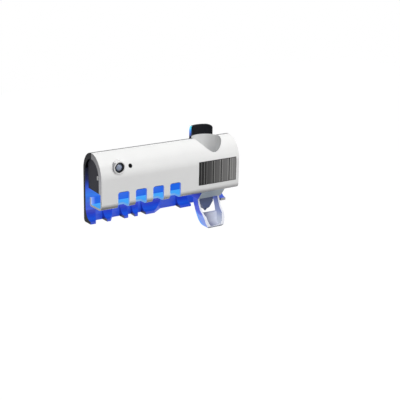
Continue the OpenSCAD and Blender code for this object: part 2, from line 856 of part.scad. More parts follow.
module dispenser_body() {
    color(grey_abs) difference() {
        union() {
            difference() {
                along_x(disp_x - disp_half_w, disp_x + disp_half_w) hood_2d(0, 0);
                along_x(disp_x - cheek_in, disp_x + cheek_in) {
                    hood_2d(disp_wall, over);
                    translate([-disp_back_d - over, disp_foot_z - over])
                        square([over + over + over, disp_top_z - disp_foot_z - disp_wall + over]);
                }
            }
            for (x = [-disp_boss_x, disp_boss_x])
                front_rod(disp_x + x, disp_boss_z, disp_back_d, disp_back_d + disp_boss_l, disp_boss_r);
        }
        post(disp_x, -well_y, disp_top_z - disp_wall - over, disp_top_z + over, collar_r + seat_gap);
        translate([disp_x - disp_half_w - over, -pivot_d, pivot_z]) rotate([0, 90, 0])
            cylinder(h = disp_half_w + disp_half_w + over + over, r = pin_r + fit_gap / 2);
        for (x = [-disp_boss_x, disp_boss_x])
            front_rod(disp_x + x, disp_boss_z, disp_back_d - over,
                disp_back_d + disp_boss_l - over / 2, screw_r + fit_gap);
    }
}

module dispenser_back() {
    d1 = disp_back_d - seat_gap;
    d0 = back_wall + slip;
    neck_d = back_wall + rail_neck_d - slip;
    head_d = back_wall + rail_neck_d + rail_head_d + slip;
    color(dark_abs) difference() {
        block([disp_x - disp_half_w, -d1, disp_foot_z], [disp_x + disp_half_w, -d0, disp_top_z]);
        block([disp_x - rail_neck_half - slip, -neck_d - over, disp_foot_z - over],
            [disp_x + rail_neck_half + slip, over, disp_top_z + over]);
        block([disp_x - rail_head_half - slip, -head_d, disp_foot_z - over],
            [disp_x + rail_head_half + slip, -neck_d, disp_top_z + over]);
        for (x = [-disp_boss_x, disp_boss_x]) {
            front_rod(disp_x + x, disp_boss_z, 0, disp_back_d + over, screw_r + fit_gap);
            front_rod(disp_x + x, disp_boss_z, 0, d1 - disp_wall, screw_head_r + seat_gap);
        }
    }
}

module dispenser_screws() {
    head_d = disp_back_d - seat_gap - disp_wall;
    color(steel) for (x = [-disp_boss_x, disp_boss_x]) {
        front_rod(disp_x + x, disp_boss_z, head_d - screw_head_t, head_d, screw_head_r);
        front_rod(disp_x + x, disp_boss_z, head_d, disp_back_d + disp_boss_l - over, screw_r);
    }
}

// Soft collar that grips the tube's neck
collar_r = 8;
collar_flange_r = 10;
collar_flange_t = 1.6;
collar_rise = 6;
collar_drop = 3;

module inlet_collar() {
    color(clear_white) difference() {
        union() {
            post(disp_x, -well_y, disp_top_z - collar_drop, disp_top_z + collar_rise, collar_r);
            post(disp_x, -well_y, disp_top_z, disp_top_z + collar_flange_t, collar_flange_r);
        }
        post(disp_x, -well_y, disp_top_z - collar_drop - over, disp_top_z + collar_rise + over, neck_r);
    }
}

// Pump axis and its duct
pump_drop = 4.5;
pump_z = edge_z - pump_drop;
pump_r = 6.5;
pump_bore_r = 5;
pump_l = 12;
pump_floor = 1.5;
duct_half = 8.4;
duct_gap = 0.4;
duct_d0 = disp_back_d + duct_gap;
duct_d1 = well_y + collar_r;
port_r = 1.5;
port_inset = 3.8;
port_d = disp_back_d + port_inset;
duct_top_z = disp_top_z - collar_drop - slip;
duct_foot_z = pump_z + pump_r + seat_gap;
duct_wall = 1.2;

module feed_duct() {
    color(clear_white) difference() {
        block([disp_x - duct_half, -duct_d1, duct_foot_z], [disp_x + duct_half, -duct_d0, duct_top_z]);
        post(disp_x, -well_y, duct_foot_z + duct_wall, duct_top_z + over, neck_r - over / 2);
        block([disp_x - port_r, -well_y, duct_foot_z + duct_wall],
            [disp_x + port_r, -port_d, duct_foot_z + duct_wall + port_r]);
        post(disp_x, -port_d, duct_foot_z - over, duct_foot_z + duct_wall + port_r, port_r);
    }
}

spigot_r = 2.4;
spigot_l = 4;

module pump_cylinder() {
    d0 = disp_back_d + seat_gap;
    color(clear_white) difference() {
        union() {
            front_rod(disp_x, pump_z, d0, d0 + pump_l, pump_r);
            post(disp_x, -port_d, pump_z - pump_r - spigot_l, pump_z - pump_bore_r, spigot_r);
        }
        front_rod(disp_x, pump_z, d0 + pump_floor, d0 + pump_l + over, pump_bore_r);
        post(disp_x, -port_d, pump_z - pump_r - spigot_l - over, pump_z + pump_r + over, port_r);
    }
}

nozzle_d0 = 12;
nozzle_d1 = 26;
nozzle_top_z = pump_z - pump_r - seat_gap;
nozzle_foot_z = nozzle_top_z - nozzle_h;
nozzle_out_d = 22.5;
nozzle_bevel = 2;
nozzle_taper_share = 0.45;
nozzle_tip_share = 0.34;
nozzle_channel_z = nozzle_top_z - spigot_l - port_r - over;

// Outlet block: square above, drawn in to its tip below
module nozzle_block() {
    half = nozzle_w / 2;
    taper_z = nozzle_top_z - nozzle_h * nozzle_taper_share;
    color(slate_abs) difference() {
        intersection() {
            along_x(disp_x - half, disp_x + half) polygon([
                [-nozzle_d0, nozzle_top_z], [-nozzle_d1, nozzle_top_z],
                [-nozzle_d1, nozzle_foot_z + nozzle_bevel], [-nozzle_d1 + nozzle_bevel, nozzle_foot_z],
                [-nozzle_d0 - nozzle_bevel, nozzle_foot_z], [-nozzle_d0, nozzle_foot_z + nozzle_bevel]]);
            translate([disp_x, 0, 0]) along_y(-nozzle_d1 - over, -nozzle_d0 + over) polygon([
                [-half, nozzle_top_z], [half, nozzle_top_z], [half, taper_z],
                [half * nozzle_tip_share, nozzle_foot_z], [-half * nozzle_tip_share, nozzle_foot_z],
                [-half, taper_z]]);
        }
        post(disp_x, -port_d, nozzle_top_z - spigot_l, nozzle_top_z + over, spigot_r + fit_gap);
        post(disp_x, -port_d, nozzle_channel_z - port_r, nozzle_top_z, port_r);
        front_rod(disp_x, nozzle_channel_z, port_d, nozzle_out_d, port_r);
        post(disp_x, -nozzle_out_d, nozzle_foot_z - over, nozzle_channel_z, port_r);
    }
}

valve_r = 2.6;
valve_tip_r = 1.1;
valve_l = 2.6;
valve_bore_r = 0.7;

// Soft outlet under the nozzle, turned about the outlet's axis
module outlet_valve() {
    color(clear_white) translate([disp_x, -nozzle_out_d, nozzle_foot_z - valve_l])
        rotate_extrude()
            polygon([[valve_bore_r, 0], [valve_tip_r, 0], [valve_r, valve_l], [valve_bore_r, valve_l]]);
}

pin_proud = 0.8;
arm_in = 13.4;
pin_in = arm_in - pin_proud;

module lever_pins() {
    color(steel) for (s = [-1, 1])
        translate([disp_x + s * (disp_half_w + pin_in) / 2, -pivot_d, pivot_z]) rotate([0, 90, 0])
            cylinder(h = disp_half_w - pin_in, r = pin_r, center = true);
}

// Lever: a deep scoop, open to the user, hung from two arms
arm_out = cheek_in - slip;
arm_boss_r = 3;
lever_gap = 0.6;
lever_top_z = disp_foot_z - lever_gap;
lever_floor_z = lever_top_z - lever_h;
bar_r = 2;
bar_d = 29;

// Side view of the scoop from its top back round its floor to its top front:
// shares of lever_reach forwards and of lever_h downwards
back_shares = [[0, 0], [0.018, 0.159], [0.114, 0.328], [0.232, 0.53], [0.386, 0.804],
    [0.48, 0.91], [0.611, 0.965], [0.84, 1]];
front_shares = [[0.95, 0.985], [1, 0.93], [0.99, 0.88], [0.93, 0.72], [0.846, 0.575],
    [0.71, 0.47], [0.575, 0.38], [0.411, 0.132], [0.375, 0]];
// Front view of the scoop: shares of lever_half and of lever_h downwards
half_shares = [[1, 0], [0.99, 0.42], [0.95, 0.6], [0.9, 0.736], [0.82, 0.85], [0.72, 0.94], [0.56, 1]];

// Smooth curve through points, with some steps between each two
curve_steps = 3;
function curve_point(a, b, c, d, t) = (b * 2 + (c - a) * t + (a * 2 - b * 5 + c * 4 - d) * t * t
    + (b * 3 - a - c * 3 + d) * t * t * t) / 2;
function curve(p) = let (n = len(p) - 1) concat(
    [for (i = [0:n - 1], k = [0:curve_steps - 1])
        curve_point(p[max(i - 1, 0)], p[i], p[i + 1], p[min(i + 2, n)], k / curve_steps)],
    [p[n]]);

function side_points(shares, forward, lift) = [for (p = curve(shares))
    [-lever_back_d - lever_reach * p[0] - forward, lever_top_z - lever_h * p[1] + lift]];

module scoop_front_2d(inset, lift) {
    shares = curve(half_shares);
    polygon(concat(
        [for (p = shares) [lever_half * p[0] - inset, lever_top_z - lever_h * p[1] + lift]],
        [for (i = [len(shares) - 1:-1:0]) let (p = shares[i])
            [-lever_half * p[0] + inset, lever_top_z - lever_h * p[1] + lift]]));
}

// Depth of the thick rim, and the first front point that it reaches
rim_depth = 3;
rim_start = 2;

module scoop() {
    reach = lever_back_d + lever_reach + over;
    window_z = lever_floor_z + lever_back_h;
    rim_points = [for (i = [rim_start:len(front_shares) - 1]) front_shares[i]];
    difference() {
        intersection() {
            along_x(disp_x - lever_half, disp_x + lever_half)
                polygon(concat(side_points(back_shares, 0, 0), side_points(front_shares, 0, 0)));
            translate([disp_x, 0, 0]) along_y(-reach, 0) scoop_front_2d(0, 0);
        }
        intersection() {
            along_x(disp_x - lever_half, disp_x + lever_half) polygon(concat(
                side_points(back_shares, lever_wall, lever_wall),
                [[-reach, lever_floor_z + lever_wall], [-reach, lever_top_z + lever_wall]]));
            translate([disp_x, 0, 0]) along_y(-reach, 0) scoop_front_2d(lever_rim, lever_wall);
        }
        intersection() {
            along_x(disp_x - lever_half, disp_x + lever_half) polygon(concat(
                side_points(back_shares, lever_wall, lever_wall), side_points(rim_points, -rim_depth, 0)));
            translate([disp_x, 0, 0]) along_y(-reach, 0) scoop_front_2d(lever_wall, lever_wall);
        }
        translate([disp_x, 0, 0]) along_y(-reach, 0) intersection() {
            scoop_front_2d(lever_wall, lever_wall);
            translate([-lever_half, window_z]) square([lever_half + lever_half, lever_h]);
        }
    }
}

// Side view of one arm, as (Y, Z)
module arm_2d() {
    front_d = lever_back_d + lever_reach * front_shares[len(front_shares) - 1][0];
    foot = lever_top_z - over;
    polygon([[-pivot_d + arm_boss_r, pivot_z], [-pivot_d - arm_boss_r, pivot_z],
        [-bar_d - bar_r, pump_z + bar_r], [-bar_d - bar_r, pump_z - bar_r],
        [-front_d, foot], [-lever_back_d - over, foot], [-lever_back_d, pump_z]]);
    translate([-pivot_d, pivot_z]) circle(arm_boss_r);
}

module push_lever() {
    color(clear_white) difference() {
        union() {
            scoop();
            for (x = [disp_x - arm_out, disp_x + arm_in]) along_x(x, x + arm_out - arm_in) arm_2d();
            translate([disp_x - arm_out, -bar_d, pump_z]) rotate([0, 90, 0])
                cylinder(h = arm_out + arm_out, r = bar_r);
        }
        translate([disp_x - disp_half_w, -pivot_d, pivot_z]) rotate([0, 90, 0])
            cylinder(h = disp_half_w + disp_half_w, r = pin_r + fit_gap);
    }
}

// Plunger driven by the lever's bar
seal_l = 1.6;
piston_l = 3;
piston_inset = 1.6;
piston_back = disp_back_d + seat_gap + pump_l - piston_inset;
rod_r = 2.5;
cap_r = 4.5;
cap_l = 1.5;
cap_front = bar_d - bar_r - slip;

module plunger() {
    groove_r = pump_bore_r - over;
    tip_d = piston_back - piston_l;
    color(grey_abs) {
        front_rod(disp_x, pump_z, tip_d, piston_back, groove_r);
        front_rod(disp_x, pump_z, piston_back - over / 2, piston_back, pump_bore_r - fit_gap);
        front_rod(disp_x, pump_z, tip_d, tip_d + over / 2, pump_bore_r - fit_gap);
        front_rod(disp_x, pump_z, piston_back, cap_front, rod_r);
        front_rod(disp_x, pump_z, cap_front - cap_l, cap_front, cap_r);
    }
}

module plunger_seal() {
    mid = piston_back - piston_l / 2;
    color("dimgray") front_tube(disp_x, pump_z, mid - seal_l / 2, mid + seal_l / 2,
        pump_bore_r - fit_gap, pump_bore_r - over + fit_gap);
}

// Return spring inside the pump, one unbroken wire
spring_r = 3.6;
wire_r = 0.3;
spring_turns = 3;
spring_sides = 6;
rings_a_turn = 8;
spring_d0 = disp_back_d + seat_gap + pump_floor + seat_gap + wire_r;
spring_d1 = piston_back - piston_l - seat_gap - wire_r;
spring_rings = spring_turns * rings_a_turn;

function spring_mid(i) = let (a = 360 * i / rings_a_turn)
    [spring_r * cos(a), spring_r * sin(a), (spring_d1 - spring_d0) * i / spring_rings];
function spring_point(i, j) =
    let (a = 360 * i / rings_a_turn, b = 360 * j / spring_sides, m = spring_mid(i))
    [m[0] + wire_r * cos(b) * cos(a), m[1] + wire_r * cos(b) * sin(a), m[2] + wire_r * sin(b)];

spring_gap = min([for (i = [0:spring_rings - rings_a_turn], k = [rings_a_turn - 1:rings_a_turn])
    i + k <= spring_rings ? norm(spring_mid(i + k) - spring_mid(i)) : spring_r]) - wire_r - wire_r;
echo(spring_gap = spring_gap);

module return_spring() {
    points = [for (i = [0:spring_rings], j = [0:spring_sides - 1]) spring_point(i, j)];
    sides = [for (i = [0:spring_rings - 1], j = [0:spring_sides - 1])
        let (k = (j + 1) % spring_sides, a = i * spring_sides, b = a + spring_sides)
            each [[a + j, b + k, b + j], [a + j, a + k, b + k]]];
    last = spring_rings * spring_sides;
    start_cap = [for (j = [1:spring_sides - 2]) [0, j + 1, j]];
    end_cap = [for (j = [1:spring_sides - 2]) [last, last + j, last + j + 1]];
    color(steel) translate([disp_x, -spring_d0, pump_z]) rotate([90, 0, 0])
        polyhedron(points, concat(sides, start_cap, end_cap));
}

wall_pad();
wall_plate();
rear_housing();
tube_sleeve();
housing_magnets();
front_cover();
right_end_panel();
solar_panel();
pir_bezel();
pir_ring();
pir_lens();
pir_sensor();
sensor_board();
light_window();
light_sensor();
inner_box();
box_back();
box_screws();
cover_magnets();
main_board();
board_parts();
board_screws();
battery_holder();
battery_cell();
uv_window();
uv_board();
uv_leds();
usb_socket();
switch_body();
switch_knob();
dispenser_body();
dispenser_back();
dispenser_screws();
inlet_collar();
feed_duct();
pump_cylinder();
nozzle_block();
outlet_valve();
lever_pins();
push_lever();
plunger();
plunger_seal();
return_spring();
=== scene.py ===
"""Toothbrush sterilizer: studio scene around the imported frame."""

import logging
from abc import ABC, abstractmethod
from collections.abc import Iterable, Sequence
from dataclasses import dataclass, field
from enum import Enum, IntEnum
from math import inf, radians

import bpy
from mathutils import Matrix, Vector


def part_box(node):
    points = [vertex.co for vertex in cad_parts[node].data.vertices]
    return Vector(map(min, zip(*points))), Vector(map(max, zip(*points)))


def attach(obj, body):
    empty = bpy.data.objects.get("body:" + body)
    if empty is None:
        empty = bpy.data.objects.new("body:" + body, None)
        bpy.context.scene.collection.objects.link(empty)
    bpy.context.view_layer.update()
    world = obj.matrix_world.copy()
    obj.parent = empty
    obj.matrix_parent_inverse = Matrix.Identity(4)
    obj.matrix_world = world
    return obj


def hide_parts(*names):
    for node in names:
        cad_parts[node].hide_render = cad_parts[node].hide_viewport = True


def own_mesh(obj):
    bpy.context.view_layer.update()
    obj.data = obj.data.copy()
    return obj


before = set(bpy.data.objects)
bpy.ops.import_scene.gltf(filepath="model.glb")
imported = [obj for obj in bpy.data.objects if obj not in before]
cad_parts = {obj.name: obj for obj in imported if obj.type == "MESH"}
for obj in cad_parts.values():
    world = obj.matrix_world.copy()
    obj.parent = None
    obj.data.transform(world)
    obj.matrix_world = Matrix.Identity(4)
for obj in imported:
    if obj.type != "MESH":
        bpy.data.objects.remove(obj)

LOG = logging.getLogger("sterilizer")
Triple = tuple[float, float, float]
Stops = Sequence[tuple[float, Triple]]
Span = tuple[float, float]
Socket = bpy.types.NodeSocket
Material = bpy.types.Material

MM = 0.001
HALF_LENGTH = 0.1025
ANY: Span = (-inf, inf)
WHITE: Triple = (1.0, 1.0, 1.0)
BLACK: Triple = (0.0, 0.0, 0.0)

# Mesh work: distances in metres, angles in degrees.
MERGE_DISTANCE = 0.000002
FLAT_ANGLE = 0.3
SHARP_ANGLE = 35.0
SMOOTH_ANGLE = 45.0

# Sockets of the colour Mix node, which have no names of their own.
MIX_INPUTS = (0, 6, 7)
MIX_RESULT = 2

# Noise: cells a metre, and the part of its range that a change of colour takes.
MOTTLE_CELLS = 45.0
DRIFT_CELLS = 60.0
STREAK_CELLS = 70.0
SHEEN_CELLS = 140.0
LIT_GRAIN_CELLS = 1500.0
NOISE_LOW = 0.3
NOISE_HIGH = 0.7
SHEEN_SPREAD = 0.15
GRAIN_HEIGHT = 0.00004


class Axis(Enum):
    """Output of Separate XYZ that a gradient follows."""

    X = "X"
    Y = "Y"
    Z = "Z"


class Mark(IntEnum):
    """Material numbers of the solar panel."""

    EDGE = 0
    CELL = 1
    STRIP = 2
    GAP = 3


def srgb(red: float, green: float, blue: float) -> Triple:
    """Linear colour of an 8-bit screen colour.

    Args:
        red: Red from 0 to 255.
        green: Green from 0 to 255.
        blue: Blue from 0 to 255.

    Returns:
        The three linear channels.
    """

    def channel(value: float) -> float:
        """One channel, linear."""
        share = value / 255
        return share / 12.92 if share <= 0.04045 else ((share + 0.055) / 1.055) ** 2.4

    return channel(red), channel(green), channel(blue)


def stops(*rows: tuple[float, float, float, float]) -> Stops:
    """Stops of a gradient, from rows of a place and an 8-bit screen colour."""
    return tuple((place, srgb(*color)) for place, *color in rows)


def scaled(color: Triple, share: float) -> Triple:
    """A colour made darker or lighter by a share, with no channel above 1."""
    red, green, blue = (min(1.0, part * share) for part in color)
    return red, green, blue


def above(low: float) -> Span:
    """All values above a bound."""
    return low, inf


def below(high: float) -> Span:
    """All values below a bound."""
    return -inf, high


class Nodes:
    """A node tree under construction."""

    def __init__(self, tree: bpy.types.NodeTree) -> None:
        """Takes the node tree of a material or a world, and empties it."""
        self.tree = tree
        self.tree.nodes.clear()

    def node(self, kind: str, **settings: object) -> bpy.types.Node:
        """Adds a node.

        Args:
            kind: Type of the node.
            **settings: Attributes to set on it.

        Returns:
            The new node.
        """
        made = self.tree.nodes.new(kind)
        for key, value in settings.items():
            setattr(made, key, value)
        return made

    def link(self, source: Socket, target: Socket) -> None:
        """Joins an output to an input."""
        self.tree.links.new(source, target)

    def feed(self, target: Socket, value: Socket | Triple | float) -> None:
        """Links an input, or sets it to a colour or a number.

        Args:
            target: Input of a node.
            value: What it takes.
        """
        if isinstance(value, Socket):
            self.link(value, target)
        else:
            target.default_value = (*value, 1.0) if isinstance(value, tuple) else value

    def math(self, operation: str, *values: Socket | float) -> Socket:
        """Works out a number.

        Args:
            operation: Operation of the Math node.
            *values: Its inputs.

        Returns:
            The result.
        """
        made = self.node("ShaderNodeMath", operation=operation)
        for target, value in zip(made.inputs, values):
            self.feed(target, value)
        return made.outputs["Value"]

    def mix(
        self, share: Socket | float, first: Socket, second: Socket | Triple, blend: str = "MIX"
    ) -> Socket:
        """Mixes two colours.

        Args:
            share: Share of the second colour.
            first: First colour.
            second: Second colour.
            blend: Way in which they mix.

        Returns:
            The mixed colour.
        """
        made = self.node("ShaderNodeMix", data_type="RGBA", blend_type=blend)
        for index, value in zip(MIX_INPUTS, (share, first, second)):
            self.feed(made.inputs[index], value)
        return made.outputs[MIX_RESULT]

    def spread(
        self, value: Socket, start: float, end: float, low: float = 0.0, high: float = 1.0
    ) -> Socket:
        """Maps a value from one range to another.

        Args:
            value: Value to map.
            start: Value that becomes low.
            end: Value that becomes high.
            low: Start of the new range.
            high: End of the new range.

        Returns:
            The new value.
        """
        made = self.node("ShaderNodeMapRange")
        names = ("Value", "From Min", "From Max", "To Min", "To Max")
        for name, part in zip(names, (value, start, end, low, high)):
            self.feed(made.inputs[name], part)
        return made.outputs["Result"]

    def ramp(self, value: Socket, places: Stops) -> Socket:
        """Colours a value.

        Args:
            value: Value from 0 to 1.
            places: Places and colours.

        Returns:
            The colour.
        """
        made = self.node("ShaderNodeValToRGB")
        elements = made.color_ramp.elements
        while len(elements) < len(places):
            elements.new(0.5)
        for element, (place, color) in zip(elements, places):
            element.position = place
            element.color = (*color, 1.0)
        self.link(value, made.inputs["Fac"])
        return made.outputs["Color"]

    def seen(self) -> Socket:
        """Says whether a ray sees the background straight, mirrored or through a clear piece.

        Returns:
            The share, 0 or 1.
        """
        path = self.node("ShaderNodeLightPath").outputs
        share = path["Is Camera Ray"]
        for kind in ("Is Glossy Ray", "Is Transmission Ray"):
            share = self.math("MAXIMUM", share, path[kind])
        return share


class Shader(Nodes):
    """A Principled material under construction."""

    def __init__(self, name: str) -> None:
        """Starts a material with a Principled shader.

        Args:
            name: Name of the material.
        """
        self.material = bpy.data.materials.new(name)
        self.material.use_nodes = True
        super().__init__(self.material.node_tree)
        self.surface = self.node("ShaderNodeBsdfPrincipled")
        output = self.node("ShaderNodeOutputMaterial")
        self.link(self.surface.outputs["BSDF"], output.inputs["Surface"])
        self.coords = self.node("ShaderNodeTexCoord").outputs["Object"]

    def set(self, **values: Socket | Triple | float) -> None:
        """Feeds inputs of the Principled shader; an underscore stands for a space."""
        for key, value in values.items():
            self.feed(self.surface.inputs[key.replace("_", " ")], value)

    def noise(self, scale: float, detail: float, stretch: Triple = (1.0, 1.0, 1.0)) -> Socket:
        """Noise over the piece.

        Args:
            scale: Cells a metre.
            detail: Octaves.
            stretch: Scale along each axis.

        Returns:
            The noise's value.
        """
        mapping = self.node("ShaderNodeMapping")
        mapping.inputs["Scale"].default_value = stretch
        self.link(self.coords, mapping.inputs["Vector"])
        noise = self.node("ShaderNodeTexNoise")
        noise.inputs["Scale"].default_value = scale
        noise.inputs["Detail"].default_value = detail
        self.link(mapping.outputs["Vector"], noise.inputs["Vector"])
        return noise.outputs["Fac"]

    def vary(self, noise: Socket, low: Triple, high: Triple) -> Socket:
        """Colours noise from one colour to another."""
        return self.ramp(noise, ((NOISE_LOW, low), (NOISE_HIGH, high)))

    def along(self, axis: Axis, start: float, end: float, wobble: float = 0.0) -> Socket:
        """A value that runs from 0 to 1 between two places on an axis.

        Args:
            axis: Axis of the object.
            start: Place of 0, in metres.
            end: Place of 1, in metres.
            wobble: Shift by noise, in metres.

        Returns:
            The value.
        """
        split = self.node("ShaderNodeSeparateXYZ")
        self.link(self.coords, split.inputs["Vector"])
        place = split.outputs[axis.value]
        if wobble:
            place = self.math("MULTIPLY_ADD", self.noise(DRIFT_CELLS, detail=4), wobble, place)
        return self.spread(place, start, end)

    def bump(self, height: Socket, strength: float, distance: float) -> None:
        """Raises the surface by a height.

        Args:
            height: Height from 0 to 1.
            strength: Strength of the bump.
            distance: Height of 1, in metres.
        """
        made = self.node("ShaderNodeBump")
        made.inputs["Strength"].default_value = strength
        made.inputs["Distance"].default_value = distance
        self.link(height, made.inputs["Height"])
        self.link(made.outputs["Normal"], self.surface.inputs["Normal"])


@dataclass(frozen=True)
class Fade:
    """Painted shade: a change to another, darker colour along an axis, which itself may change
    along X.
    """

    axis: Axis
    start: float
    end: float
    color: Triple
    right: Triple | None = None
    wobble: float = 0.002

    def over(self, shader: Shader, color: Socket) -> Socket:
        """Lays the fade over a colour.

        Args:
            shader: Material under construction.
            color: Colour at the start.

        Returns:
            The colour with the fade.
        """
        share = shader.along(self.axis, self.start, self.end, self.wobble)
        if self.right is None:
            return shader.mix(share, color, self.color)
        across = shader.along(Axis.X, -HALF_LENGTH, HALF_LENGTH)
        return shader.mix(share, color, shader.ramp(across, ((0.0, self.color), (1.0, self.right))))


@dataclass(frozen=True)
class Moulded:
    """Moulded plastic, rubber or foam with faint mottling and moulding grain, and painted shade
    where it has a fade.
    """

    name: str
    color: Triple
    roughness: float = 0.35
    coat: float = 0.0
    mottle: float = 0.03
    grain: float = 0.15
    grain_cells: float = 1800.0
    transmission: float = 0.0
    specular: float = 0.5
    coat_roughness: float = 0.08
    glow: Triple | None = None
    glow_strength: float = 0.0
    fade: Fade | None = None

    def build(self) -> Material:
        """Makes the material.

        Returns:
            The material.
        """
        shader = Shader(self.name)
        low, high = (scaled(self.color, 1 + change) for change in (-self.mottle, self.mottle))
        color = shader.vary(shader.noise(MOTTLE_CELLS, detail=4), low, high)
        # Painted shade over the colour, where the finish has a fade.
        if self.fade:
            color = self.fade.over(shader, color)
        smooth, dull = (self.roughness * (1 + change) for change in (-SHEEN_SPREAD, SHEEN_SPREAD))
        sheen = shader.spread(shader.noise(SHEEN_CELLS, detail=3), 0.0, 1.0, smooth, dull)
        shader.set(Base_Color=color, Roughness=sheen, Specular_IOR_Level=self.specular)
        shader.set(Coat_Weight=self.coat, Coat_Roughness=self.coat_roughness)
        shader.set(Transmission_Weight=self.transmission)
        shader.bump(shader.noise(self.grain_cells, detail=2), self.grain, GRAIN_HEIGHT)
        if self.glow:
            shader.set(Emission_Color=self.glow, Emission_Strength=self.glow_strength)
        return shader.material


@dataclass(frozen=True)
class LampLit:
    """Plastic in the lamps' light, painted on as a glow: the painted light fades along one axis, in
    faint streaks.
    """

    name: str
    base: Triple
    stops: Stops
    axis: Axis
    start: float
    end: float
    strength: float = 1.0
    roughness: float = 0.35
    streaks: float = 0.25
    streak_stretch: Triple = (0.35, 1.0, 4.0)
    wobble: float = 0.003
    grain: float = 0.12

    def fall_off(self, shader: Shader) -> Socket:
        """Colour of the light along the axis."""
        place = shader.along(self.axis, self.start, self.end, self.wobble)
        return shader.ramp(place, self.stops)

    def light(self, shader: Shader) -> Socket:
        """Colour of the light over the piece.

        Args:
            shader: Material under construction.

        Returns:
            The colour.
        """
        noise = shader.noise(STREAK_CELLS, detail=4, stretch=self.streak_stretch)
        streak = shader.vary(noise, scaled(WHITE, 1 - self.streaks), WHITE)
        return shader.mix(1.0, self.fall_off(shader), streak, "MULTIPLY")

    def build(self) -> Material:
        """Makes the material.

        Returns:
            The material.
        """
        shader = Shader(self.name)
        shader.set(Base_Color=self.base, Roughness=self.roughness)
        shader.set(Emission_Color=self.light(shader), Emission_Strength=self.strength)
        shader.bump(shader.noise(LIT_GRAIN_CELLS, detail=2), self.grain, GRAIN_HEIGHT)
        return shader.material


@dataclass(frozen=True)
class EdgeLit(LampLit):
    """Plastic in the lamps' painted light with a painted highlight, a brighter band along a curved
    edge, below a level.
    """

    centre: tuple[float, float] = (0.0, 0.0)
    near: float = 0.0
    far: float = 1.0
    top: float = 0.0
    fade_height: float = 0.004
    edge: Triple = BLACK

    def light(self, shader: Shader) -> Socket:
        """Colour of the light over the piece.

        Args:
            shader: Material under construction.

        Returns:
            The colour.
        """
        flat = shader.node("ShaderNodeVectorMath", operation="MULTIPLY")
        flat.inputs[1].default_value = (0.0, 1.0, 1.0)
        shader.link(shader.coords, flat.inputs[0])
        away = shader.node("ShaderNodeVectorMath", operation="DISTANCE")
        away.inputs[1].default_value = (0.0, *self.centre)
        shader.link(flat.outputs["Vector"], away.inputs[0])
        band = shader.spread(away.outputs["Value"], self.near, self.far)
        under = shader.along(Axis.Z, self.top + self.fade_height, self.top)
        return shader.mix(shader.math("MULTIPLY", band, under), self.fall_off(shader), self.edge)


@dataclass(frozen=True)
class SolarCells:
    """Dark cells under clear resin, with painted light that makes them lighter to the right."""

    name: str
    left: float
    right: float
    dark: Triple
    light: Triple
    line_cells: float = 900.0
    line_stretch: Triple = (1.0, 0.0, 0.004)
    line_tones: Span = (0.72, 1.25)
    line_places: Span = (0.35, 0.65)

    def build(self) -> Material:
        """Makes the material.

        Returns:
            The material.
        """
        shader = Shader(self.name)
        place = shader.along(Axis.X, self.left, self.right)
        tone = shader.ramp(place, ((0.0, self.dark), (1.0, self.light)))
        greys = [(grey, grey, grey) for grey in self.line_tones]
        noise = shader.noise(self.line_cells, detail=2, stretch=self.line_stretch)
        lines = shader.ramp(noise, tuple(zip(self.line_places, greys)))
        shader.set(Base_Color=shader.mix(1.0, tone, lines, "MULTIPLY"), Roughness=0.4)
        shader.set(Specular_IOR_Level=0.15, Coat_Weight=0.04, Coat_Roughness=0.06)
        return shader.material


@dataclass(frozen=True)
class FacetLens:
    """Milky lens with a honeycomb of small facets."""

    name: str
    color: Triple
    cells: float = 620.0
    unevenness: float = 0.25
    edge_share: float = 0.55
    edge_places: Span = (0.02, 0.12)

    def build(self) -> Material:
        """Makes the material.

        Returns:
            The material.
        """
        shader = Shader(self.name)
        cells = shader.node("ShaderNodeTexVoronoi", feature="DISTANCE_TO_EDGE")
        cells.inputs["Scale"].default_value = self.cells
        cells.inputs["Randomness"].default_value = self.unevenness
        shader.link(shader.coords, cells.inputs["Vector"])
        inward = cells.outputs["Distance"]
        tones = (scaled(self.color, self.edge_share), self.color)
        shader.set(Base_Color=shader.ramp(inward, tuple(zip(self.edge_places, tones))))
        shader.set(Roughness=0.18, Coat_Weight=0.6, Coat_Roughness=0.05, Subsurface_Weight=0.1)
        shader.bump(inward, strength=0.35, distance=0.0002)
        return shader.material


@dataclass(frozen=True)
class BrushedMetal:
    """Plain steel, finely brushed."""

    name: str
    color: Triple
    roughness: float = 0.28
    scratch_cells: float = 900.0
    scratch_stretch: Triple = (1.0, 8.0, 1.0)
    scratch_share: float = 0.85

    def build(self) -> Material:
        """Makes the material.

        Returns:
            The material.
        """
        shader = Shader(self.name)
        scratch = shader.noise(self.scratch_cells, detail=4, stretch=self.scratch_stretch)
        color = shader.vary(scratch, scaled(self.color, self.scratch_share), self.color)
        shader.set(Base_Color=color, Metallic=1.0, Roughness=self.roughness)
        shader.bump(scratch, strength=0.15, distance=0.00003)
        return shader.material


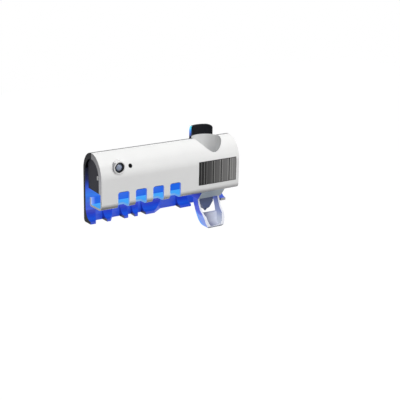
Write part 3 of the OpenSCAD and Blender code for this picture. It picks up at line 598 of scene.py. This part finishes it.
class Finish(Enum):
    """Every finish of the object."""

    WHITE = Moulded("white_gloss", srgb(238, 238, 237), 0.24, coat=0.35, mottle=0.012, grain=0.05)
    # The cover's white, with painted shade darkening its bottom edge, darkest towards the left end.
    COVER_WHITE = Moulded(
        "cover_gloss", srgb(238, 238, 237), 0.24, coat=0.35, mottle=0.012, grain=0.05,
        fade=Fade(Axis.Z, -0.0130, -0.0182, srgb(84, 82, 82), right=srgb(196, 195, 194)),
    )
    # Light grey painted over the black housing: painted light on the last tooth's front.
    RIM_GREY = Moulded("tooth_front_painted_light", srgb(196, 196, 198), 0.3, coat=0.2, mottle=0.02)
    # Painted shade: the end rim darker towards the top.
    END_RIM = Moulded(
        "end_rim", srgb(226, 226, 232), coat=0.15,
        fade=Fade(Axis.Z, 0.012, 0.045, srgb(146, 146, 148)),
    )
    # Painted shade on the collar's left side.
    COLLAR_SIDE = Moulded("collar_painted_shade", srgb(168, 168, 170), 0.3, coat=0.2, mottle=0.02)
    BLACK = Moulded("housing_black", srgb(22, 23, 29), 0.42, mottle=0.12, specular=0.12)
    DARK = Moulded("box_dark", srgb(62, 62, 71), 0.5, mottle=0.08, grain=0.3, specular=0.12)
    GREY = Moulded("hood_grey", srgb(190, 203, 210), 0.4)
    SLATE = Moulded("nozzle_slate", srgb(84, 97, 136), 0.42, mottle=0.06)
    FROSTED = Moulded("lever_frosted", srgb(236, 238, 248), 0.3, coat=0.3, mottle=0.02)
    # Painted shade: the scoop's floor darker towards its left wall.
    LEVER_FLOOR = Moulded(
        "lever_floor", srgb(226, 230, 242), coat=0.2, mottle=0.02,
        fade=Fade(Axis.X, 0.0790, 0.0610, srgb(108, 112, 142)),
    )
    # Painted shade on the lever's front edge and underside.
    LEVER_FOOT = Moulded("lever_foot", srgb(150, 160, 178), 0.4, mottle=0.04)
    SOFT = Moulded("soft_clear", srgb(222, 225, 230), 0.5)
    FOAM = Moulded("foam_grey", srgb(88, 88, 94), 0.9, mottle=0.15, grain=0.9, grain_cells=700)
    GLOSS_BLACK = Moulded(
        "gloss_black", srgb(10, 10, 12), 0.2, mottle=0.05, grain=0.02, specular=0.3
    )
    WINDOW_BLACK = Moulded(
        "window_black", srgb(5, 5, 6), 0.5, mottle=0.05, grain=0.02, specular=0.04
    )
    BOARD = Moulded("board_green", srgb(24, 92, 52), 0.45, mottle=0.12)
    CHIP = Moulded("chip_black", srgb(30, 30, 32), 0.55, mottle=0.1)
    CELL = Moulded("cell_wrap", srgb(40, 90, 170), 0.25, coat=0.3, mottle=0.04)
    # Painted glow of the UV LEDs behind the window.
    WINDOW = Moulded(
        "lamp_window", srgb(200, 225, 255), 0.1, transmission=0.6,
        glow=srgb(90, 140, 255), glow_strength=1.2,
    )
    LAMP = Moulded(
        "lamp_chip", srgb(150, 150, 255), 0.3, glow=srgb(110, 120, 255), glow_strength=4.0
    )
    STEEL = BrushedMetal("steel", (0.62, 0.63, 0.66))
    NICKEL = BrushedMetal("nickel", (0.75, 0.74, 0.72), 0.16)
    LENS = FacetLens("lens_milky", srgb(150, 160, 186))
    # The lamps' light inside the device, painted on as glows.
    WALL_GLOW = LampLit(
        "wall_lit", srgb(30, 34, 60),
        stops((0.0, 26, 64, 196), (0.28, 38, 84, 220), (0.52, 62, 132, 244), (0.62, 50, 88, 216),
              (0.78, 36, 42, 96), (0.9, 26, 29, 48), (1.0, 14, 15, 20)),
        Axis.Z, -0.046, 0.026,
    )
    SHELF_GLOW = LampLit(
        "shelf_lit", srgb(20, 24, 60),
        stops((0.0, 18, 56, 184), (0.6, 30, 88, 228), (1.0, 22, 50, 196)),
        Axis.Y, -0.0172, -0.0046,
    )
    EDGE_GLOW = LampLit(
        "shelf_edge_lit", srgb(14, 16, 30),
        stops((0.0, 3, 4, 12), (0.5, 8, 14, 60), (1.0, 14, 36, 150)),
        Axis.Z, -0.046, -0.042, streaks=0.1, wobble=0.0,
    )
    LIP_GLOW = LampLit(
        "lip_lit", srgb(24, 40, 90),
        stops((0.0, 128, 214, 248), (0.12, 78, 176, 238), (0.55, 60, 150, 234),
              (0.68, 46, 108, 234), (1.0, 34, 96, 222)),
        Axis.Z, -0.0215, -0.009, streaks=0.12,
    )
    SLOT_GLOW = LampLit(
        "slot_side_lit", srgb(110, 124, 170),
        stops((0.0, 120, 190, 236), (0.5, 110, 150, 232), (1.0, 96, 110, 204)),
        Axis.Z, -0.0215, -0.002, strength=0.7, streaks=0.08,
    )
    LIP_END = LampLit(
        "lip_end_lit", srgb(10, 20, 50),
        stops((0.0, 214, 220, 246), (0.2, 132, 164, 248), (0.5, 96, 136, 244),
              (0.7, 40, 100, 230), (1.0, 30, 98, 224)),
        Axis.X, -0.1025, -0.0935, streaks=0.08, wobble=0.0008,
    )
    REST_GLOW = LampLit(
        "backrest_lit", srgb(20, 22, 34),
        stops((0.0, 6, 8, 16), (0.35, 40, 80, 190), (0.75, 60, 150, 240), (1.0, 70, 215, 250)),
        Axis.Z, 0.046, 0.0575, streaks=0.05, wobble=0.001,
    )
    HOOD_GLOW = LampLit(
        "hood_lit", srgb(60, 64, 120),
        stops((0.0, 80, 96, 196), (0.5, 56, 68, 184), (1.0, 36, 44, 120)),
        Axis.Z, -0.0335, -0.022, strength=0.85, streaks=0.15,
    )
    LEVER_GLOW = EdgeLit(
        "lever_lit", srgb(70, 76, 130),
        stops((0.0, 98, 126, 204), (0.46, 118, 148, 228), (0.53, 62, 84, 208),
              (0.64, 46, 66, 202), (1.0, 68, 88, 200)),
        Axis.Z, -0.0703, -0.0331, strength=0.9,
        centre=(-0.0530, -0.0480), near=0.0222, far=0.0262, top=-0.053, edge=srgb(36, 150, 246),
    )
    LEVER_INNER = LampLit(
        "lever_inner_lit", srgb(70, 72, 86),
        stops((0.0, 196, 204, 216), (0.3, 182, 190, 210), (0.55, 124, 137, 187),
              (0.85, 102, 116, 176), (1.0, 66, 80, 160)),
        Axis.Z, -0.0703, -0.0331, strength=0.85, streaks=0.06,
    )
    LEVER_RIM = LampLit(
        "lever_rim_lit", srgb(60, 90, 160),
        stops((0.0, 60, 120, 246), (0.3, 52, 170, 250), (0.55, 50, 180, 250),
              (0.66, 50, 80, 220), (1.0, 66, 78, 210)),
        Axis.Z, -0.0703, -0.0331, strength=0.9, streaks=0.05,
    )


@dataclass
class Palette:
    """Materials of the finishes, each made once."""

    made: dict[Finish, Material] = field(default_factory=dict)

    def get(self, finish: Finish) -> Material:
        """The material of a finish.

        Args:
            finish: Finish to make, or made before.

        Returns:
            The material.
        """
        if finish not in self.made:
            self.made[finish] = finish.value.build()
        return self.made[finish]


@dataclass(frozen=True)
class Zone:
    """Faces that take a finish: spans of their centre, in millimetres, and of their normal.

    Spans reach up to 1 mm past a face or stop short of it, to suit its rounded edges.
    """

    finish: Finish
    x: Span = ANY
    y: Span = ANY
    z: Span = ANY
    normal_x: Span = ANY
    normal_y: Span = ANY
    normal_z: Span = ANY

    def holds(self, at: Vector, normal: Vector) -> bool:
        """Says whether a face with a centre in millimetres and a normal lies in every span."""
        spans = (self.x, self.y, self.z, self.normal_x, self.normal_y, self.normal_z)
        return all(low < value < high for (low, high), value in zip(spans, (*at, *normal)))


class Bench:
    """Work in object and edit mode on one mesh."""

    @staticmethod
    def take(obj: bpy.types.Object) -> None:
        """Selects one object alone and makes it active.

        Args:
            obj: Object.
        """
        bpy.ops.object.select_all(action="DESELECT")
        obj.select_set(True)
        bpy.context.view_layer.objects.active = obj

    @staticmethod
    def copy(node: str, name: str) -> bpy.types.Object:
        """A copy of a CAD node's mesh, merged and with flat areas joined.

        Args:
            node: CAD node.
            name: Name of the copy.

        Returns:
            The new object.
        """
        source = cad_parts[node]
        mesh = source.data.copy()
        mesh.name = name
        obj = bpy.data.objects.new(name, mesh)
        bpy.context.scene.collection.objects.link(obj)
        mesh.materials.clear()
        Bench.take(obj)
        bpy.ops.object.mode_set(mode="EDIT")
        bpy.ops.mesh.select_all(action="SELECT")
        bpy.ops.mesh.remove_doubles(threshold=MERGE_DISTANCE)
        bpy.ops.mesh.dissolve_limited(angle_limit=radians(FLAT_ANGLE))
        bpy.ops.object.mode_set(mode="OBJECT")
        return obj

    @staticmethod
    def soften(obj: bpy.types.Object, width: float, segments: int) -> None:
        """Rounds the sharp edges of a piece and shades it smooth.

        Args:
            obj: Piece.
            width: Width of the rounding, in millimetres.
            segments: Steps across it.
        """
        Bench.take(obj)
        if width:
            bevel = obj.modifiers.new("edge", "BEVEL")
            bevel.width = width * MM
            bevel.segments = segments
            bevel.limit_method = "ANGLE"
            bevel.angle_limit = radians(SHARP_ANGLE)
            bevel.use_clamp_overlap = True
            bpy.ops.object.modifier_apply(modifier=bevel.name)
        bpy.ops.object.shade_smooth_by_angle(angle=radians(SMOOTH_ANGLE))
        weighted = obj.modifiers.new("normals", "WEIGHTED_NORMAL")
        weighted.keep_sharp = True
        bpy.ops.object.modifier_apply(modifier=weighted.name)

    @staticmethod
    def paint(obj: bpy.types.Object, material: Material, zone: Zone) -> None:
        """Gives faces a material.

        Args:
            obj: Piece.
            material: Material.
            zone: Zone that the faces lie in.
        """
        mesh = obj.data
        if material.name not in mesh.materials:
            mesh.materials.append(material)
        index = mesh.materials.find(material.name)
        for face in mesh.polygons:
            if zone.holds(face.center / MM, face.normal):
                face.material_index = index


@dataclass
class SubAssembly(ABC):
    """A group of pieces of one body; its sizes are in millimetres."""

    palette: Palette
    body: str = "cover"

    @abstractmethod
    def build(self) -> None:
        """Builds the pieces and dresses them."""

    def report(self, obj: bpy.types.Object) -> None:
        """Logs one finished piece."""
        LOG.info("%s: %d faces", obj.name, len(obj.data.polygons))

    def recoat(self, nodes: Iterable[str], finish: Finish) -> None:
        """Gives CAD nodes a finish as they are.

        Args:
            nodes: CAD nodes.
            finish: Their finish.
        """
        material = self.palette.get(finish)
        for node in nodes:
            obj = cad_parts[node]
            obj.data.materials.clear()
            obj.data.materials.append(material)
            LOG.info("%s: %s", node, finish.name.lower())

    def paint(self, obj: bpy.types.Object, zones: Iterable[Zone]) -> None:
        """Gives zones of a piece their finishes; a later zone covers an earlier one."""
        for zone in zones:
            Bench.paint(obj, self.palette.get(zone.finish), zone)

    def dress(
        self, node: str, finish: Finish, slot: str, edge: float, segments: int = 2
    ) -> bpy.types.Object:
        """Replaces a CAD node by its own shape with rounded edges.

        Args:
            node: CAD node.
            finish: Its finish.
            slot: Material slot of the record; not used.
            edge: Width of the rounding, in millimetres.
            segments: Steps across the rounding.

        Returns:
            The new piece.
        """
        obj = Bench.copy(node, f"{node}_skin")
        Bench.soften(obj, edge, segments)
        self.paint(obj, [Zone(finish)])
        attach(obj, self.body)
        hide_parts(node)
        self.report(obj)
        return obj


@dataclass
class WallPlate(SubAssembly):
    """Adhesive pad and plate on the wall."""

    body: str = "wall_mount"

    def build(self) -> None:
        """Builds the plate and its pad."""
        self.dress("wall_plate", Finish.WHITE, "plate_steel", edge=0.25)
        self.recoat(["wall_pad"], Finish.FOAM)


@dataclass
class Housing(SubAssembly):
    """Rear housing with its comb shelf and backrest, in the lamps' light."""

    body: str = "housing"
    back_wall: float = -4.6
    wall_curve: float = 12.5
    shelf_top: float = -42.6
    shelf_end: float = -28.0
    tooth_reach: float = 8.0
    glow_top: float = 24.0
    rest_foot: float = 46.5
    rest_half: float = 12.0

    def build(self) -> None:
        """Builds the housing, the well's sleeve and the magnets."""
        shell = self.dress("rear_housing", Finish.BLACK, "black_plastic", edge=0.35)
        low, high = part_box("tube_sleeve")
        left, right = low.x / MM, high.x / MM
        wall, teeth = self.back_wall, self.shelf_top + self.tooth_reach
        self.paint(shell, (
            # Upright edges of the comb's teeth.
            Zone(Finish.EDGE_GLOW, y=below(wall - 0.3), z=below(teeth), normal_z=(-0.3, 0.3)),
            # Inner face of the back wall, below the arch.
            Zone(Finish.WALL_GLOW, y=(wall - self.wall_curve, wall + 0.2), z=below(self.glow_top),
                 normal_y=below(-0.25)),
            # Top of the comb shelf.
            Zone(Finish.SHELF_GLOW, y=below(wall), z=(self.shelf_top - 0.5, self.shelf_end),
                 normal_z=above(0.25)),
            # Front of the last tooth, out of the lamps' reach, with painted light in light grey
            # over the black.
            Zone(Finish.RIM_GREY, x=above(right), y=below(wall - self.tooth_reach), z=below(teeth),
                 normal_y=below(-0.5)),
            # Left edge and inner side of the backrest.
            Zone(Finish.REST_GLOW, x=below((left + right) / 2 - self.rest_half), y=below(-0.5),
                 z=above(self.rest_foot)),
        ))
        self.dress("tube_sleeve", Finish.WHITE, "white_plastic", edge=0.2)
        self.recoat(["housing_magnets"], Finish.NICKEL)


@dataclass
class Cover(SubAssembly):
    """White arched cover with its lip."""

    foot: float = -22.0
    wall: float = 2.5
    front: float = -45.0
    front_curve: float = 6.0
    lip_top: float = -11.0
    lip_faces: Span = (-18.4, -15.4)
    slots: Span = (18.0, 118.0)
    slot_top: float = -1.5
    slot_end: float = -22.0
    rim: float = 4.0

    def zones(self, left: float) -> tuple[Zone, ...]:
        """Zones of the cover in the lamps' painted light, and of painted shade on its left end.

        Args:
            left: Left end of the cover, in millimetres.

        Returns:
            The zones, in order.
        """
        lip_front, lip_back = self.lip_faces
        floor = self.foot + self.wall
        inside = (self.front + self.wall - 0.2, lip_front + 0.3)
        lip = (lip_front - 0.6, lip_back)
        lip_side = (floor - 0.5, self.lip_top + 0.3)
        slots = (left + self.slots[0], left + self.slots[1])
        top = below(self.slot_top)
        return (
            # Floor and front of the lamps' chamber.
            Zone(Finish.LIP_GLOW, y=inside, z=below(floor + 2.5), normal_z=above(0.3)),
            Zone(Finish.LIP_GLOW, y=inside, z=below(-1.0), normal_y=above(0.5)),
            # Both sides and the top of the lip's upstand.
            Zone(Finish.LIP_END, y=lip, z=lip_side, normal_y=above(0.5)),
            Zone(Finish.LIP_END, y=lip, z=lip_side, normal_y=below(-0.5)),
            Zone(Finish.LIP_END, y=lip, z=(self.lip_top - 1, self.lip_top + 0.3),
                 normal_z=above(0.5)),
            # Left end of the arch's rim, with painted shade darker towards the top.
            Zone(Finish.END_RIM, x=below(left + self.rim), y=below(lip_front - 1),
                 z=above(self.foot + self.rim), normal_x=below(-0.7)),
            # Upright sides and rear ends of the four slots.
            Zone(Finish.SLOT_GLOW, x=slots, y=below(self.slot_end), z=top, normal_x=above(0.6)),
            Zone(Finish.SLOT_GLOW, x=slots, y=below(self.slot_end), z=top, normal_x=below(-0.6)),
            Zone(Finish.SLOT_GLOW, x=slots, y=(self.front + self.front_curve, self.slot_end), z=top,
                 normal_y=below(-0.3)),
        )

    def build(self) -> None:
        """Builds the cover."""
        # The cover's white carries painted shade along its bottom edge.
        finish = Finish.COVER_WHITE
        shell = self.dress("front_cover", finish, "white_plastic", edge=0.45, segments=3)
        self.paint(shell, self.zones(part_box("front_cover")[0].x / MM))


@dataclass(frozen=True)
class Line:
    """A strip or a gap of the solar panel, in metres."""

    middle: float
    half: float
    mark: Mark


@dataclass
class SolarPanel(SubAssembly):
    """Solar panel: cells between light strips and dark gaps."""

    strips: tuple[float, ...] = (0.065, 0.145, 0.21, 0.355, 0.412, 0.565, 0.626, 0.78, 0.845, 0.9)
    gaps: tuple[float, ...] = (0.112, 0.178, 0.383, 0.596, 0.811)
    strip_width: float = 0.6
    gap_width: float = 0.9
    frame_width: float = 0.6
    sink: float = 0.08
    smooth_angle: float = 20.0

    def lines(self, low: float, length: float) -> list[Line]:
        """Strips and gaps of the panel.

        Args:
            low: Left end of the panel, in metres.
            length: Its length, in metres.

        Returns:
            The strips, then the gaps.
        """
        kinds = (
            (self.strips, self.strip_width, Mark.STRIP),
            (self.gaps, self.gap_width, Mark.GAP),
        )
        return [
            Line(low + length * share, width / 2 * MM, mark)
            for shares, width, mark in kinds
            for share in shares
        ]

    def cut(self, low: Vector, high: Vector, lines: Iterable[Line]) -> bpy.types.Object:
        """Makes the slab and cuts it at the borders of its strips.

        Args:
            low: Lowest corner.
            high: Highest corner.
            lines: Strips and gaps.

        Returns:
            The slab.
        """
        bpy.ops.object.select_all(action="DESELECT")
        bpy.ops.mesh.primitive_cube_add(size=1, location=(low + high) / 2)
        panel = bpy.context.active_object
        panel.name = "solar_panel_cells"
        panel.scale = high - low
        bpy.ops.object.transform_apply(location=True, rotation=True, scale=True)
        border = self.frame_width * MM
        across, upward = Vector((1, 0, 0)), Vector((0, 0, 1))
        cuts = [(low.x + border, across), (high.x - border, across)]
        for line in lines:
            cuts += [(line.middle - line.half, across), (line.middle + line.half, across)]
        cuts += [(low.z + border, upward), (high.z - border, upward)]
        bpy.ops.object.mode_set(mode="EDIT")
        for place, normal in cuts:
            bpy.ops.mesh.select_all(action="SELECT")
            bpy.ops.mesh.bisect(plane_co=place * normal, plane_no=normal)
        bpy.ops.object.mode_set(mode="OBJECT")
        return panel

    def mark(self, panel: bpy.types.Object, low: Vector, high: Vector, lines: list[Line]) -> None:
        """Gives the front faces their materials and selects the cells alone.

        Args:
            panel: Slab.
            low: Lowest corner.
            high: Highest corner.
            lines: Strips and gaps.
        """
        mesh = panel.data
        for element in (*mesh.polygons, *mesh.edges, *mesh.vertices):
            element.select = False
        border = self.frame_width * MM
        for face in mesh.polygons:
            at = face.center
            inside = low.x + border < at.x < high.x - border
            inside = inside and low.z + border < at.z < high.z - border
            if face.normal.y > -0.5 or not inside:
                continue
            marks = (line.mark for line in lines if abs(at.x - line.middle) < line.half)
            face.material_index = next(marks, Mark.CELL)
            face.select = face.material_index == Mark.CELL

    def build(self) -> None:
        """Builds the panel."""
        low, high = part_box("solar_panel")
        lines = self.lines(low.x, high.x - low.x)
        panel = self.cut(low, high, lines)
        # The cells, strips and gaps carry painted light, lighter to the right.
        for finish in (
            Moulded("solar_edge", srgb(10, 10, 12), specular=0.2),
            SolarCells("solar_cells", low.x, high.x, srgb(14, 14, 15), srgb(140, 139, 138)),
            SolarCells("solar_strips", low.x, high.x, srgb(118, 118, 118), srgb(192, 191, 188)),
            SolarCells("solar_gaps", low.x, high.x, srgb(4, 4, 5), srgb(38, 38, 38)),
        ):
            panel.data.materials.append(finish.build())
        self.mark(panel, low, high, lines)
        Bench.take(panel)
        bpy.ops.object.mode_set(mode="EDIT")
        bpy.ops.mesh.select_mode(type="FACE")
        bpy.ops.mesh.inset(thickness=self.sink * MM, depth=-self.sink * MM, use_individual=True)
        bpy.ops.object.mode_set(mode="OBJECT")
        bpy.ops.object.shade_smooth_by_angle(angle=radians(self.smooth_angle))
        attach(panel, self.body)
        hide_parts("solar_panel")
        self.report(panel)


@dataclass
class Sensors(SubAssembly):
    """Motion sensor and light window."""

    def build(self) -> None:
        """Builds the collar, ring, lens and the light window."""
        collar = self.dress("pir_bezel", Finish.WHITE, "white_plastic", edge=0.35, segments=3)
        self.paint(collar, [
            # Left side of the collar, turned from the key lamp, in painted shade.
            Zone(Finish.COLLAR_SIDE, normal_x=below(-0.45), normal_y=(-0.6, 0.6),
                 normal_z=below(0.75)),
        ])
        self.dress("pir_ring", Finish.GLOSS_BLACK, "black_plastic", edge=0.25, segments=3)
        self.dress("pir_lens", Finish.LENS, "lens", edge=0.0)
        self.dress("light_window", Finish.WINDOW_BLACK, "smoked_lens", edge=0.25, segments=3)
        self.recoat(["pir_sensor", "light_sensor"], Finish.STEEL)
        self.recoat(["sensor_board"], Finish.BOARD)


@dataclass
class Electronics(SubAssembly):
    """Electronics box and all that it holds."""

    def build(self) -> None:
        """Builds the box and dresses its contents."""
        self.dress("inner_box", Finish.DARK, "dark_plastic", edge=0.3)
        self.dress("box_back", Finish.DARK, "dark_plastic", edge=0.2)
        self.dress("right_end_panel", Finish.DARK, "dark_plastic", edge=0.3)
        self.dress("switch_body", Finish.CHIP, "black_plastic", edge=0.15)
        self.dress("usb_socket", Finish.STEEL, "metal", edge=0.15)
        self.dress("uv_window", Finish.WINDOW, "clear_window", edge=0.15)
        self.recoat(["uv_leds"], Finish.LAMP)
        self.recoat(["uv_board", "main_board"], Finish.BOARD)
        self.recoat(["board_parts"], Finish.CHIP)
        self.recoat(["battery_holder"], Finish.GLOSS_BLACK)
        self.recoat(["battery_cell"], Finish.CELL)
        self.recoat(["box_screws", "board_screws"], Finish.STEEL)
        self.recoat(["cover_magnets"], Finish.NICKEL)


@dataclass
class Switch(SubAssembly):
    """Sliding knob of the switch."""

    body: str = "switch"

    def build(self) -> None:
        """Builds the knob."""
        self.dress("switch_knob", Finish.WHITE, "white_plastic", edge=0.25, segments=3)


@dataclass
class Dispenser(SubAssembly):
    """Paste dispenser: hood, pump and nozzle."""

    body: str = "dispenser"
    hood_half: float = 12.0
    spring_keep: float = 0.4

    def build_spring(self) -> None:
        """Builds the return spring, with a mesh of its own."""
        spring = self.dress("return_spring", Finish.STEEL, "metal", edge=0)
        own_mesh(spring)

    def build(self) -> None:
        """Builds the dispenser."""
        hood = self.dress("dispenser_body", Finish.GREY, "grey_plastic", edge=0.5, segments=3)
        middle = sum(corner.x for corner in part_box("dispenser_body")) / 2 / MM
        self.paint(hood, [
            # Hood's left side, in the lamps' light.
            Zone(Finish.HOOD_GLOW, x=below(middle - self.hood_half), normal_x=below(-0.35)),
        ])
        self.dress("dispenser_back", Finish.DARK, "dark_plastic", edge=0.25)
        self.dress("nozzle_block", Finish.SLATE, "slate_plastic", edge=0.5, segments=3)
        self.dress("outlet_valve", Finish.SLATE, "silicone", edge=0.1)
        self.dress("inlet_collar", Finish.SOFT, "silicone", edge=0.3, segments=3)
        self.dress("pump_cylinder", Finish.FROSTED, "frosted_plastic", edge=0.2)
        self.dress("feed_duct", Finish.FROSTED, "frosted_plastic", edge=0.2)
        self.recoat(["dispenser_screws", "lever_pins"], Finish.STEEL)
        self.build_spring()


@dataclass
class Lever(SubAssembly):
    """Milky push lever in the lamps' light."""

    body: str = "lever"
    middle: float = 65.5
    arm: float = 8.0
    inner_half: float = 12.6
    scoop_top: float = -50.0
    scoop_front: float = -46.0
    scoop_curve: float = -40.0
    scoop_rear: float = -24.0
    foot_top: float = -67.8
    rear_top: float = -33.0

    def build(self) -> None:
        """Builds the lever."""
        lever = self.dress("push_lever", Finish.FROSTED, "frosted_plastic", edge=0.5, segments=3)
        inner = (self.middle - self.inner_half, self.middle + self.inner_half)
        scoop = below(self.scoop_top)
        self.paint(lever, (
            # Inner faces of the scoop's floor and back, with painted shade darker towards the left
            # wall.
            Zone(Finish.LEVER_FLOOR, x=inner, y=(self.scoop_front, self.scoop_rear), z=scoop,
                 normal_x=below(0.4), normal_y=above(-0.7), normal_z=above(0.3)),
            Zone(Finish.LEVER_FLOOR, x=inner, y=(self.scoop_curve, self.scoop_rear), z=scoop,
                 normal_x=below(0.4), normal_y=below(-0.5)),
            # Front edge and underside of the floor, in painted shade.
            Zone(Finish.LEVER_FOOT, z=below(self.foot_top), normal_x=above(-0.35),
                 normal_z=below(0.3)),
            # Inner face of the right wall.
            Zone(Finish.LEVER_INNER, x=above(self.middle + self.arm), normal_x=below(-0.5)),
            # Rounded rear edge on the left.
            Zone(Finish.LEVER_RIM, x=below(self.middle), z=below(self.rear_top),
                 normal_y=above(0.3)),
            # Outer face of the left wall.
            Zone(Finish.LEVER_GLOW, x=below(self.middle - self.arm), normal_x=below(-0.35)),
        ))


@dataclass
class Plunger(SubAssembly):
    """Plunger and its seal."""

    body: str = "pump_plunger"

    def build(self) -> None:
        """Builds the plunger."""
        self.dress("plunger", Finish.GREY, "grey_plastic", edge=0.15)
        self.recoat(["plunger_seal"], Finish.SOFT)


@dataclass(frozen=True)
class Lamp:
    """A square soft lamp that faces the object's middle."""

    name: str
    at: Triple
    size: float
    watts: float

    def hang(self) -> None:
        """Adds the lamp to the scene."""
        data = bpy.data.lights.new(self.name, "AREA")
        data.size = self.size
        data.energy = self.watts
        obj = bpy.data.objects.new(self.name, data)
        bpy.context.scene.collection.objects.link(obj)
        turn = Vector(self.at).to_track_quat("Z", "Y").to_matrix().to_4x4()
        obj.matrix_world = Matrix.Translation(self.at) @ turn


@dataclass
class Studio:
    """Camera, floor, world and lamps."""

    camera_at: Triple = (-0.7093, -1.1290, 0.3728)
    forward: Triple = (0.5447, 0.7862, -0.2918)
    up: Triple = (0.1509, 0.2505, 0.9563)
    focal_length: float = 96.67
    sensor: float = 36.0
    clip_end: float = 50.0
    floor_z: float = -0.75
    floor_size: float = 8.0
    floor_color: Triple = (0.3, 0.3, 0.31)
    floor_glow: float = 0.8
    sky: Stops = ((0.35, (0.12, 0.12, 0.12)), (0.85, (0.6, 0.6, 0.602)))
    lamps: tuple[Lamp, ...] = (
        Lamp("key", (0.2, -1.0, 1.45), 0.9, 17.0),
        Lamp("fill", (0.9, -1.9, 0.3), 1.2, 4.0),
    )

    def camera(self) -> None:
        """Sets the camera at the photograph's place."""
        data = bpy.data.cameras.new("view")
        data.lens = self.focal_length
        data.sensor_width = self.sensor
        data.clip_end = self.clip_end
        obj = bpy.data.objects.new("view", data)
        bpy.context.scene.collection.objects.link(obj)
        ahead = Vector(self.forward).normalized()
        side = ahead.cross(Vector(self.up)).normalized()
        top = side.cross(ahead)
        turn = Matrix((side, top, -ahead)).transposed().to_4x4()
        obj.matrix_world = Matrix.Translation(self.camera_at) @ turn
        bpy.context.scene.camera = obj

    def floor(self) -> None:
        """Lays a pale floor that keeps the shadow."""
        bpy.ops.object.select_all(action="DESELECT")
        bpy.ops.mesh.primitive_plane_add(size=self.floor_size, location=(0, 0, self.floor_z))
        plane = bpy.context.active_object
        plane.name = "floor"
        shader = Shader("floor_pale")
        glow = shader.math("MULTIPLY", shader.seen(), self.floor_glow)
        shader.set(Base_Color=self.floor_color, Roughness=0.9)
        shader.set(Emission_Color=WHITE, Emission_Strength=glow)
        plane.data.materials.append(shader.material)

    def world(self) -> None:
        """Fills the room with soft light and a white background."""
        world = bpy.data.worlds.new("room")
        world.use_nodes = True
        nodes = Nodes(world.node_tree)
        split = nodes.node("ShaderNodeSeparateXYZ")
        aim = nodes.node("ShaderNodeTexCoord")
        nodes.link(aim.outputs["Generated"], split.inputs["Vector"])
        rise = nodes.spread(split.outputs["Z"], -1.0, 1.0)
        mix = nodes.node("ShaderNodeMixShader")
        nodes.link(nodes.seen(), mix.inputs["Fac"])
        for index, color in enumerate((nodes.ramp(rise, self.sky), WHITE), start=1):
            light = nodes.node("ShaderNodeBackground")
            nodes.feed(light.inputs["Color"], color)
            nodes.link(light.outputs["Background"], mix.inputs[index])
        output = nodes.node("ShaderNodeOutputWorld")
        nodes.link(mix.outputs["Shader"], output.inputs["Surface"])
        bpy.context.scene.world = world

    def build(self) -> None:
        """Sets up the studio."""
        self.camera()
        self.floor()
        self.world()
        for lamp in self.lamps:
            lamp.hang()
        bpy.context.scene.view_settings.view_transform = "Standard"


def main() -> None:
    """Builds the scene in order."""
    logging.basicConfig(level=logging.INFO, format="%(name)s: %(message)s")
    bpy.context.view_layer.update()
    Studio().build()
    palette = Palette()
    for part in (
        Cover(palette),
        SolarPanel(palette),
        Sensors(palette),
        Electronics(palette),
        Switch(palette),
        Housing(palette),
        WallPlate(palette),
        Dispenser(palette),
        Lever(palette),
        Plunger(palette),
    ):
        part.build()
        LOG.info("%s done", type(part).__name__)


if __name__ == "__main__":
    main()
